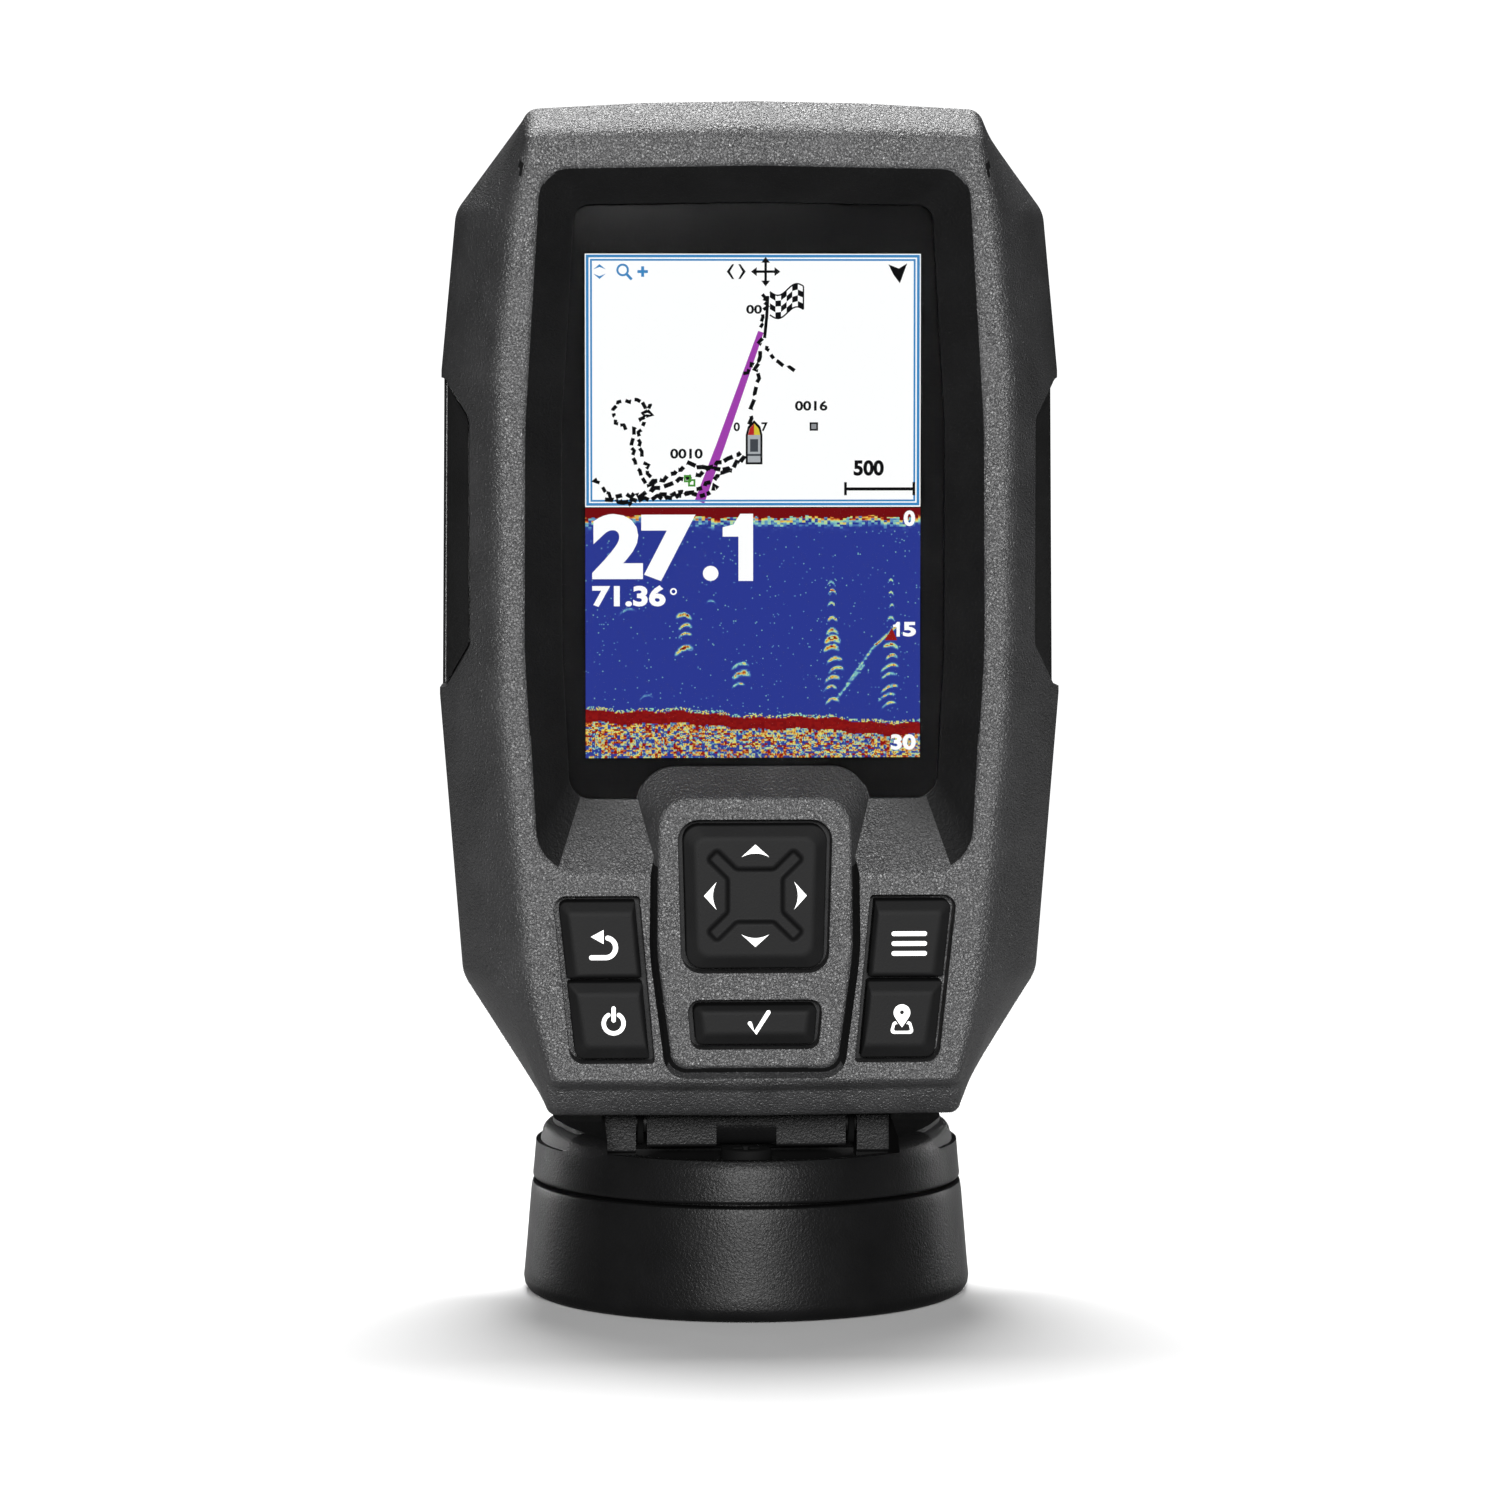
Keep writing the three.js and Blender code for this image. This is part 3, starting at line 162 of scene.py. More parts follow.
def rounded(corners, steps=6):
    """The outline's points, with each corner that has a radius turned into an arc."""
    made = []
    count = len(corners)
    for i, (x, z, radius) in enumerate(corners):
        here = np.array([x, z], float)
        if radius <= 0:
            made.append(here)
            continue
        before = np.array(corners[i - 1][:2], float) - here
        after = np.array(corners[(i + 1) % count][:2], float) - here
        shortest = min(np.linalg.norm(before), np.linalg.norm(after))
        before, after = before / np.linalg.norm(before), after / np.linalg.norm(after)
        half = math.acos(max(-1.0, min(1.0, before @ after))) / 2
        cut = min(radius / math.tan(half), shortest * 0.48)
        r = cut * math.tan(half)
        bisector = before + after
        middle = here + bisector / np.linalg.norm(bisector) * (r / math.sin(half))
        start, end = here + before * cut - middle, here + after * cut - middle
        sweep = math.atan2(start[0] * end[1] - start[1] * end[0], start @ end)
        for k in range(steps + 1):
            a = sweep * k / steps
            c, s = math.cos(a), math.sin(a)
            made.append(middle + np.array([start[0] * c - start[1] * s, start[0] * s + start[1] * c]))
    return np.array(made)


def rings_of(outlines, steps=6, longest=3.0):
    """Rings of points with equal counts from outlines that match corner for corner."""
    rings = [rounded(o, steps) for o in outlines]
    lengths = np.max([np.linalg.norm(np.roll(r, -1, 0) - r, axis=1) for r in rings], axis=0)
    counts = np.maximum(np.ceil(lengths / longest).astype(int), 1)
    made = []
    for r in rings:
        nxt = np.roll(r, -1, 0)
        points = [r[i] + (nxt[i] - r[i]) * k / n for i, n in enumerate(counts) for k in range(n)]
        made.append(np.array(points))
    return made


def at(ring, y):
    """A flat ring stood up in the frame at depth y."""
    return np.column_stack([ring[:, 0], np.full(len(ring), float(y)), ring[:, 1]])


def toward(a, b, distance):
    step = b - a
    length = np.linalg.norm(step, axis=1, keepdims=True)
    return a + step / np.maximum(length, 1e-9) * np.minimum(distance, length * 0.49)


def curve3(a, b, c, steps=4):
    """Rings along the rounded corner from a to c whose sharp corner is b."""
    return [a * (1 - t) ** 2 + b * 2 * t * (1 - t) + c * t * t for t in np.linspace(0, 1, steps + 1)]


# ---------------------------------------------------------------- meshes


def new_object(name, vertices, faces):
    mesh = bpy.data.meshes.new(name)
    mesh.from_pydata([tuple(v) for v in np.asarray(vertices, float) * MM], [], [tuple(f) for f in faces])
    mesh.validate()
    bm = bmesh.new()
    bm.from_mesh(mesh)
    bmesh.ops.remove_doubles(bm, verts=bm.verts, dist=1e-6)
    bmesh.ops.recalc_face_normals(bm, faces=bm.faces)
    bm.to_mesh(mesh)
    bm.free()
    made = bpy.data.objects.new(name, mesh)
    bpy.context.scene.collection.objects.link(made)
    return made


def lofted(name, rings):
    """A closed solid through rings of equal counts, with flat ends."""
    n = len(rings[0])
    faces = []
    for k in range(len(rings) - 1):
        for i in range(n):
            j = (i + 1) % n
            faces.append((k * n + i, k * n + j, (k + 1) * n + j, (k + 1) * n + i))
    faces.append(tuple(range(n - 1, -1, -1)))
    faces.append(tuple((len(rings) - 1) * n + i for i in range(n)))
    return new_object(name, np.concatenate(rings), faces)


def prism(name, corners, y0, y1, steps=6, longest=4.0):
    ring = rings_of([corners], steps, longest)[0]
    return lofted(name, [at(ring, y0), at(ring, y1)])


def block(name, x0, x1, y0, y1, z0, z1):
    ring = np.array([(x0, z0), (x1, z0), (x1, z1), (x0, z1)], float)
    return lofted(name, [at(ring, y0), at(ring, y1)])


def turned(name, profile, segments=128):
    """A solid turned about the Z axis. Its profile of (radius, height) starts and ends on the axis."""
    verts, faces = [], []
    inner = profile[1:-1]
    for r, z in inner:
        for k in range(segments):
            a = 2 * math.pi * k / segments
            verts.append((r * math.cos(a), r * math.sin(a), z))
    for i in range(len(inner) - 1):
        for k in range(segments):
            j = (k + 1) % segments
            here, above = i * segments, (i + 1) * segments
            faces.append((here + k, here + j, above + j, above + k))
    for ring, (r, z) in ((0, profile[0]), (len(inner) - 1, profile[-1])):
        verts.append((0, 0, z))
        for k in range(segments):
            faces.append((ring * segments + k, ring * segments + (k + 1) % segments, len(verts) - 1))
    return new_object(name, verts, faces)


def tube_ring(name, inner, outer, z0, z1, segments=128):
    verts, faces = [], []
    loop = [(inner, z0), (outer, z0), (outer, z1), (inner, z1)]
    for r, z in loop:
        for k in range(segments):
            a = 2 * math.pi * k / segments
            verts.append((r * math.cos(a), r * math.sin(a), z))
    for i in range(4):
        for k in range(segments):
            j, m = (k + 1) % segments, (i + 1) % 4
            faces.append((i * segments + k, i * segments + j, m * segments + j, m * segments + k))
    return new_object(name, verts, faces)


def rod(name, axis, centre, radius, start, end, segments=32):
    """A round bar along "x", "y" or "z" between two places on that axis, centred on the other two."""
    a = np.linspace(0, 2 * math.pi, segments, endpoint=False)
    u, v = centre[0] + radius * np.cos(a), centre[1] + radius * np.sin(a)
    rings = []
    for w in (start, end):
        flat = np.full(segments, float(w))
        columns = {"x": (flat, u, v), "y": (u, flat, v), "z": (u, v, flat)}[axis]
        rings.append(np.column_stack(columns))
    return lofted(name, rings)


def across(name, profile, x0, x1):
    """A side profile of (y, z) points, pushed across from x0 to x1."""
    p = np.array(profile, float)
    rings = [np.column_stack([np.full(len(p), float(x)), p[:, 0], p[:, 1]]) for x in (x0, x1)]
    return lofted(name, rings)


def evaluated_mesh(obj):
    """A new mesh of an object with its modifiers applied."""
    bpy.context.view_layer.update()
    return bpy.data.meshes.new_from_object(obj.evaluated_get(bpy.context.evaluated_depsgraph_get()))


def combine(target, other, how="DIFFERENCE"):
    """Cuts, joins or intersects target with another solid, which is used up."""
    step = target.modifiers.new("combine", "BOOLEAN")
    step.operation = how
    step.object = other
    step.solver = "MANIFOLD"
    result = evaluated_mesh(target)
    target.modifiers.clear()
    old = target.data
    target.data = result
    bpy.data.meshes.remove(old)
    bpy.data.objects.remove(other)
    if not len(target.data.polygons):
        raise ValueError(f"{target.name} came out empty")
    return target


def smooth(obj, angle=32):
    """Smooth shading with sharp edges by angle, and normals that keep the flat faces flat."""
    mesh = obj.data
    mesh.shade_smooth()
    mesh.set_sharp_from_angle(angle=math.radians(angle))
    weighted = obj.modifiers.new("weighted_normals", "WEIGHTED_NORMAL")
    weighted.mode = "FACE_AREA"
    weighted.keep_sharp = True
    weighted.weight = 90
    return obj


def soften(obj, width, angle=38):
    """Rounds the sharp edges of a piece."""
    for polygon in obj.data.polygons:
        polygon.use_smooth = True
    weld = obj.modifiers.new("weld", "WELD")
    weld.merge_threshold = 1e-6
    edge = obj.modifiers.new("edges", "BEVEL")
    edge.width = width * MM
    edge.segments = 2
    edge.limit_method = "ANGLE"
    edge.angle_limit = math.radians(angle)
    edge.harden_normals = True


def joined(name, objects):
    """One object from several."""
    bm = bmesh.new()
    for o in objects:
        o.data.transform(o.matrix_world)
        bm.from_mesh(o.data)
    mesh = bpy.data.meshes.new(name)
    bm.to_mesh(mesh)
    bm.free()
    for o in objects:
        bpy.data.objects.remove(o)
    made = bpy.data.objects.new(name, mesh)
    bpy.context.scene.collection.objects.link(made)
    return made


# ---------------------------------------------------------------- materials


def linear(r, g, b):
    """An sRGB colour of 0 to 255 as linear values with alpha."""
    def one(v):
        v = v / 255
        return v / 12.92 if v <= 0.04045 else ((v + 0.055) / 1.055) ** 2.4
    return (one(r), one(g), one(b), 1.0)


def add(tree, kind, **inputs):
    """A new node in a tree. Each value fills the input of that name, and a socket is linked to it."""
    node = tree.nodes.new("ShaderNode" + kind)
    for name, value in inputs.items():
        socket = node.inputs[name.replace("_", " ")]
        if isinstance(value, bpy.types.NodeSocket):
            tree.links.new(value, socket)
        else:
            socket.default_value = value
    return node


def principled(name, **inputs):
    """A new material and its tree and shader, with values for the shader's inputs."""
    mat = bpy.data.materials.new(name)
    mat.use_nodes = True
    shader = mat.node_tree.nodes["Principled BSDF"]
    for key, value in inputs.items():
        shader.inputs[key.replace("_", " ")].default_value = value
    return mat, mat.node_tree, shader


def moulded(name, dark, light, rough, grain_size, grain, specular=0.5, rough_spread=0.06):
    """Moulded plastic or rubber: an etched grain, faint colour mottling and uneven gloss."""
    mat, tree, shader = principled(name, Specular_IOR_Level=specular)
    place = add(tree, "TexCoord").outputs["Object"]
    mottle = add(tree, "TexNoise", Vector=place, Scale=120, Detail=4, Roughness=0.6).outputs["Fac"]
    tint = add(tree, "ValToRGB", Fac=mottle)
    tint.name = "tint"
    for element, position, colour in zip(tint.color_ramp.elements, (0.3, 0.7), (dark, light)):
        element.position = position
        element.color = colour
    tree.links.new(tint.outputs["Color"], shader.inputs["Base Color"])
    gloss = add(tree, "MapRange", Value=mottle, To_Min=rough - rough_spread, To_Max=rough + rough_spread)
    tree.links.new(gloss.outputs["Result"], shader.inputs["Roughness"])
    etch = add(
        tree, "TexNoise", Vector=place, Scale=1000 / grain_size, Detail=2.0, Roughness=0.5, Distortion=0.8)
    raised = add(tree, "Bump", Strength=grain, Distance=0.0003, Height=etch.outputs["Fac"])
    tree.links.new(raised.outputs["Normal"], shader.inputs["Normal"])
    return mat


def paint_recess_shade(mat):
    """Paints shade onto the slopes round the screen: near black, fading out towards the foot of the recess."""
    tree = mat.node_tree
    shader = tree.nodes["Principled BSDF"]
    parts = add(tree, "SeparateXYZ", Vector=add(tree, "TexCoord").outputs["Object"])

    def ramp(source, low, high):
        step = add(tree, "MapRange", Value=source, From_Min=low * MM, From_Max=high * MM)
        step.interpolation_type = "SMOOTHSTEP"
        return step.outputs["Result"]

    def math_node(operation, *values):
        step = add(tree, "Math")
        step.operation = operation
        for socket, value in zip(step.inputs, values):
            tree.links.new(value, socket)
        return step.outputs["Value"]

    x = math_node("ABSOLUTE", parts.outputs["X"])
    y, z = parts.outputs["Y"], parts.outputs["Z"]
    shade_mask = ramp(y, FACE + 0.25, FACE + 0.8)
    within = ramp(x, RECESS_HALF + 1.2, RECESS_HALF + 0.8)
    height = ramp(z, RECESS_BOTTOM - 0.5, LENS_BOTTOM + 2.5)
    island = math_node("MAXIMUM", ramp(x, 13.0, 28.5), ramp(z, PANEL_FOOT + 0.3, PANEL_FOOT + 2.5))
    below_top = ramp(z, RECESS_TOP + 0.5, RECESS_TOP + 0.1)
    for other in (within, height, island, below_top):
        shade_mask = math_node("MULTIPLY", shade_mask, other)
    mix = tree.nodes.new("ShaderNodeMix")
    mix.data_type = "RGBA"
    colour_a, colour_b, colour_out = mix.inputs[6], mix.inputs[7], mix.outputs[2]
    tree.links.new(shade_mask, mix.inputs["Factor"])
    tree.links.new(tree.nodes["tint"].outputs["Color"], colour_a)
    # The near-black painted shade of the recess slopes.
    colour_b.default_value = (0.0035, 0.0035, 0.0037, 1)
    tree.links.new(colour_out, shader.inputs["Base Color"])
    dull = add(tree, "MapRange", Value=shade_mask, To_Min=1.0, To_Max=2.1)
    gloss = shader.inputs["Roughness"].links[0].from_socket
    tree.links.new(math_node("MULTIPLY", gloss, dull.outputs["Result"]), shader.inputs["Roughness"])
    return mat


def metal(name, colour, rough):
    """Turned or pressed metal with fine brushing."""
    mat, tree, shader = principled(name, Base_Color=colour, Metallic=1.0)
    place = add(tree, "TexCoord").outputs["Object"]
    brush = add(tree, "TexNoise", Vector=place, Scale=900, Detail=3).outputs["Fac"]
    gloss = add(tree, "MapRange", Value=brush, To_Min=rough - 0.1, To_Max=rough + 0.12)
    tree.links.new(gloss.outputs["Result"], shader.inputs["Roughness"])
    raised = add(tree, "Bump", Strength=0.1, Distance=0.00005, Height=brush)
    tree.links.new(raised.outputs["Normal"], shader.inputs["Normal"])
    return mat


def lit(name, colour=None, attribute=None):
    """A part of the display that gives light, in one colour or in a mesh's own colours."""
    black = (0.0, 0.0, 0.0, 1.0)
    mat, tree, shader = principled(
        name, Base_Color=black, Roughness=0.6, Specular_IOR_Level=0.0, Emission_Strength=1.0)
    if attribute:
        own = add(tree, "VertexColor")
        own.layer_name = attribute
        tree.links.new(own.outputs["Color"], shader.inputs["Emission Color"])
    else:
        shader.inputs["Emission Color"].default_value = colour
    return mat


def clear_glass(name):
    """Clear plastic with a faint smear in its gloss."""
    tint = (0.97, 0.98, 0.98, 1.0)
    mat, tree, shader = principled(name, Base_Color=tint, Transmission_Weight=1.0, IOR=1.49)
    smear = add(tree, "TexNoise", Vector=add(tree, "TexCoord").outputs["Object"], Scale=60)
    gloss = add(tree, "MapRange", Value=smear.outputs["Fac"], To_Min=0.0, To_Max=0.03)
    tree.links.new(gloss.outputs["Result"], shader.inputs["Roughness"])
    return mat


def greys(low, high):
    """A dark and a light near-neutral grey, a touch blue."""
    return (low, low, low * 1.03, 1), (high, high, high * 1.03, 1)


# The grey case, with painted shade on the slopes of its recess.
GREY_CASE = paint_recess_shade(moulded("grey_case", *greys(0.018, 0.026), 0.43, 0.36, 0.95, 0.6, 0.12))
# Near-black painted shade for the recess sides beside the key island and for the groove walls round it.
PAINTED_RECESS_SHADE = moulded("painted_recess_shade", *greys(0.0035, 0.005), 0.6, 0.5, 0.5, 0.09)
DARK_CASE = moulded("dark_case", *greys(0.005, 0.007), 0.4, 0.38, 0.24, 0.5, 0.08)
MOUNT_CASE = moulded("mount_case", *greys(0.003, 0.0045), 0.38, 0.36, 0.24, 0.09, 0.08)
KEY_RUBBER = moulded("key_rubber", *greys(0.0035, 0.005), 0.62, 0.25, 0.12, 0.1)
GRIP = moulded("grip", *greys(0.010, 0.014), 0.62, 0.3, 0.2, 0.25)
RUBBER = moulded("rubber", *greys(0.009, 0.013), 0.75, 0.3, 0.3, 0.3)
# Flat near-black: real print on the lens and the display's body, and painted shade in the turret's well, on its
# bolt and washer and on the hinge washers.
PRINT_AND_SHADE = moulded("black_print_and_painted_shade", *greys(0.0012, 0.0018), 0.8, 0.3, 0.05, 0.1)
BOARD = moulded("circuit_board", (0.012, 0.10, 0.045, 1), (0.018, 0.13, 0.06, 1), 0.35, 0.8, 0.1)
CERAMIC = moulded("ceramic", (0.42, 0.33, 0.22, 1), (0.5, 0.4, 0.28, 1), 0.6, 0.4, 0.2)
DIFFUSER = moulded("diffuser", (0.74, 0.75, 0.74, 1), (0.8, 0.81, 0.8, 1), 0.5, 0.4, 0.1)
ICON = moulded("icon_white", (0.78, 0.78, 0.77, 1), (0.84, 0.84, 0.83, 1), 0.55, 0.2, 0.1)
BLACK_STEEL = moulded("black_steel", *greys(0.004, 0.006), 0.5, 0.8, 0.1, 0.3)
STEEL = metal("stainless", (0.5, 0.5, 0.51, 1), 0.32)
TINNED = metal("tinned_steel", (0.66, 0.66, 0.64, 1), 0.38)
GOLD = metal("gold_plate", (0.78, 0.56, 0.22, 1), 0.25)
GLASS = clear_glass("lens_clear")


def finished(obj, material, body, slot, *nodes):
    """Gives a piece its material and its body, and hides the CAD nodes it stands for. The slot is not used."""
    obj.data.materials.clear()
    obj.data.materials.append(material)
    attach(obj, body)
    if nodes:
        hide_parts(*nodes)
    return obj


# ---------------------------------------------------------------- outlines of the head

silhouette = mirrored([
    (0, HEAD_TOP, 0),
    (FACE_HALF - 20, HEAD_TOP - 0.3, 0),
    (FACE_HALF - 3.6, HEAD_TOP - 1.2, 2.4),
    (HEAD_HALF - 2.6, WING_CORNER, 5),
    (HEAD_HALF - 0.4, NOTCH_TOP, 0),
    (HEAD_HALF, NOTCH_BOTTOM, 0),
    (HEAD_HALF - 3.3, LOW_CORNER, 6),
    (FACE_HALF - 6.1, HEAD_BOTTOM + 0.3, 1.6),
    (0, HEAD_BOTTOM, 0),
])
face_outline = mirrored([
    (0, FACE_TOP + 0.7, 0),
    (FACE_HALF - 20, FACE_TOP + 0.5, 0),
    (FACE_HALF - 3.0, FACE_TOP, 1.5),
    (FACE_HALF - 1.0, WING_CORNER, 40),
    (FACE_HALF + 1.4, NOTCH_TOP, 0),
    (FACE_HALF + 1.1, NOTCH_BOTTOM, 0),
    (FACE_HALF - 2.9, LOW_CORNER, 60),
    (FACE_HALF - 6.0, FACE_BOTTOM + 0.5, 2.4),
    (0, FACE_BOTTOM, 0),
])


def shell_outline(depth_share):
    """The front case's outline at a share of the way from its face back to where it is widest.

    The flanks bow outwards, the top rolls over early, and the bottom steps back before its bevel."""
    bevel = min(depth_share * (WIDEST - FACE) / (BEVEL_BACK - FACE), 1)
    flank = 1 - (1 - depth_share) ** 1.45
    top = 1 - (1 - bevel) ** 1.1
    step, step_rise = 0.38, 0.22
    if bevel < step:
        bottom = step_rise * bevel / step
    else:
        past_step = (bevel - step) / (1 - step)
        bottom = step_rise + (1 - step_rise) * (1 - (1 - past_step) ** 1.5)
    made = []
    for wide, face in zip(silhouette, face_outline):
        if abs(wide[0]) > FACE_HALF:
            rise = depth_share
        else:
            rise = top if wide[1] > SCREEN_TOP else bottom
        x = face[0] + (wide[0] - face[0]) * flank
        z = face[1] + (wide[1] - face[1]) * rise
        made.append((x, z, face[2] + (wide[2] - face[2]) * min(depth_share * 3, 1)))
    return made


middle_high, middle_low = SCREEN_TOP - 25, SCREEN_BOTTOM + 16
recess_mouth = mirrored([
    (0, RECESS_TOP, 0),
    (RECESS_HALF - 1.8, RECESS_TOP - 0.6, 4.6),
    (RECESS_HALF + 0.5, middle_high, 90),
    (RECESS_HALF + 0.7, middle_low, 90),
    (RECESS_HALF - 1.3, RECESS_BOTTOM, 6.5),
    (0, RECESS_BOTTOM, 0),
])
lens_outline = mirrored([
    (0, LENS_TOP, 0),
    (LENS_HALF - 1.9, LENS_TOP - 0.4, 2.4),
    (LENS_HALF, middle_high, 90),
    (LENS_HALF, middle_low, 90),
    (LENS_HALF - 1.1, LENS_BOTTOM, 3.4),
    (0, LENS_BOTTOM, 0),
])
panel_outline = mirrored([(13.9, PANEL_TOP, 4.4), (14.2, DPAD_BOTTOM + 3, 40), (11.9, PANEL_BOTTOM, 2.6)])
panel_foot = mirrored([(17.0, PANEL_FOOT, 5.6), (17.0, DPAD_BOTTOM + 3, 40), (14.8, PANEL_BOTTOM - 4, 2.6)])
groove_top = grown(panel_outline, 1.25)
groove_outline = mirrored([
    (groove_top[0][0], groove_top[0][1], 5.4),
    (groove_top[1][0], groove_top[1][1], 40),
    (groove_top[2][0], groove_top[2][1] - 0.5, 3.4),
])
groove_floor = grown(panel_outline, 0.35)


def face_half_at(z):
    if z > LOW_CORNER:
        upper, lower = (FACE_HALF - 0.4, NOTCH_BOTTOM), (FACE_HALF - 4.4, LOW_CORNER)
    else:
        upper, lower = (FACE_HALF - 4.4, LOW_CORNER), (FACE_HALF - 6.5, FACE_BOTTOM + 0.5)
    return lower[0] + (upper[0] - lower[0]) * (z - lower[1]) / (upper[1] - lower[1])


def panel_half_at(z):
    share = min(max((z - PANEL_BOTTOM) / (DPAD_BOTTOM + 3 - PANEL_BOTTOM), 0), 1)
    return 11.9 + 2.3 * share


def pair_opening(side):
    outer_top = face_half_at(SIDE_KEYS_TOP) - 3.4
    outer_bottom = face_half_at(SIDE_KEYS_BOTTOM) - 3.1
    inner_top = panel_half_at(SIDE_KEYS_TOP) + 2.7
    inner_bottom = panel_half_at(SIDE_KEYS_BOTTOM) + 2.7
    corners = [
        (outer_top, SIDE_KEYS_TOP, 1.8),
        (inner_top, SIDE_KEYS_TOP, 0.5),
        (inner_bottom, SIDE_KEYS_BOTTOM, 0.5),
        (outer_bottom, SIDE_KEYS_BOTTOM, 2.2),
    ]
    return corners if side > 0 else [(-x, z, r) for x, z, r in corners]


dpad_opening = mirrored([(11.3, DPAD_TOP, 3.0), (10.7, DPAD_BOTTOM, 3.0)])
select_opening = mirrored([(9.9, SELECT_TOP, 1.7), (9.3, SELECT_BOTTOM, 1.7)])


def notch_corners(side, extra=0.0):
    inner = HEAD_HALF - 4.5
    corners = [
        (HEAD_HALF + 4, NOTCH_TOP, 0),
        (HEAD_HALF - 1, NOTCH_TOP - 1.2, 1.2),
        (inner, NOTCH_TOP - 7, 2.4),
        (inner, NOTCH_BOTTOM + 7.5, 2.4),
        (HEAD_HALF - 1, NOTCH_BOTTOM + 1.2, 1.2),
        (HEAD_HALF + 4, NOTCH_BOTTOM, 0),
    ]
    corners = [(side * x, z, r) for x, z, r in corners]
    return grown(corners, extra) if extra else corners


# ---------------------------------------------------------------- front case


def shell_rings():
    """Rings from the face back to the parting line."""
    soft = 1.4
    shares = [soft / (WIDEST - FACE), 0.13, 0.142, 0.17, 0.2, 0.24, 0.28, 0.315, 0.347]
    shares += [0.4, 0.5, 0.6, 0.75, 0.9, 1]
    last = grown(silhouette, -0.3)
    flat = [
        (x, min(z, FACE_BOTTOM + 1.0) if z < LOW_CORNER - 5 else z, r)
        for x, z, r in grown(face_outline, -soft)
    ]
    outlines = [flat, face_outline] + [shell_outline(share) for share in shares]
    sets = rings_of(outlines + [last, grown(last, -0.35)], 7, 2.0)
    depths = [FACE, FACE] + [FACE + (WIDEST - FACE) * share for share in shares] + [PARTING, PARTING]
    rings = [at(ring, depth) for ring, depth in zip(sets, depths)]
    end, rim = rings[-2], rings[-1]
    rounded_end = curve3(toward(end, rings[-3], 0.35), end, rim, 3)
    return curve3(rings[0], rings[1], rings[2], 5) + rings[3:-2] + rounded_end


def opening_cutter(name, corners, floor, soft=0.22, steps=6):
    """A cutter for an opening in the face, with a rounded rim."""
    wide, true = rings_of([grown(corners, soft), corners], steps, 3.0)
    rim = at(wide, FACE - 0.008)
    rings = [at(wide, FACE - 3)] + curve3(rim, at(true, FACE), at(true, FACE + soft), 3)
    return lofted(name, rings + [at(true, floor)])


def front_case():
    rings = shell_rings()
    body = lofted("front_shell", rings)

    soft = 0.6
    wide, mouth, foot = rings_of([grown(recess_mouth, soft), recess_mouth, lens_outline], 9, 2.5)
    m, f = at(mouth, FACE), at(foot, LENS_FRONT)
    rings = [at(wide, FACE - 3)] + curve3(at(wide, FACE - 0.008), m, toward(m, f, soft), 5)
    recess = lofted("recess_cutter", rings + [f, at(foot, LEDGE)])

    edge, floor = rings_of([groove_outline, groove_floor], 8, 3.0)
    groove = lofted("groove_cutter", [at(edge, FACE - 3), at(edge, FACE), at(floor, FACE + 2.1)])
    combine(recess, groove, "UNION")

    soft = 0.42
    inset, top, foot = rings_of([grown(panel_outline, -soft), panel_outline, panel_foot], 8, 2.5)
    t, f = at(top, FACE), at(foot, LENS_FRONT)
    rings = curve3(at(inset, FACE - 0.008), t, toward(t, f, soft * 1.2), 5)
    island = lofted("island", rings + [f, at(foot, LEDGE + 4)])
    combine(recess, island)
    combine(body, recess)

    floor = FACE + 5.6
    combine(body, opening_cutter("four_way_opening", dpad_opening, floor))
    combine(body, opening_cutter("select_opening", select_opening, floor))
    for side in (1, -1):
        combine(body, opening_cutter("pair_opening", pair_opening(side), floor))
        combine(body, prism("notch", notch_corners(side), FACE - 3, PARTING + 2, 6, 2.0))
    smooth(body)
    finished(body, GREY_CASE, "head", "grey_casing", "front_case")
    body.data.materials.append(PAINTED_RECESS_SHADE)
    # Painted shade: faces in the recess beside the key island, and the groove walls that don't face up, take the
    # near-black.
    for polygon in body.data.polygons:
        x, y, z = (abs(v) / MM if k == 0 else v / MM for k, v in enumerate(polygon.center))
        in_recess = x < RECESS_HALF + 1.0 and FACE + 0.3 < y < LENS_BACK and z < RECESS_TOP + 0.3
        beside_island = z > PANEL_FOOT + 0.8 or (x > LENS_HALF - 1 and z > RECESS_BOTTOM + 4.0)
        in_groove = FACE + 0.3 < y < FACE + 2.3 and x < 18 and PANEL_BOTTOM - 2 < z < RECESS_BOTTOM + 1
        faces_up = polygon.normal.z > 0.4 and z < PANEL_BOTTOM + 1
        if (in_recess and beside_island) or (in_groove and not faces_up):
            polygon.material_index = 1
    return body


front_case()

# ---------------------------------------------------------------- rear case


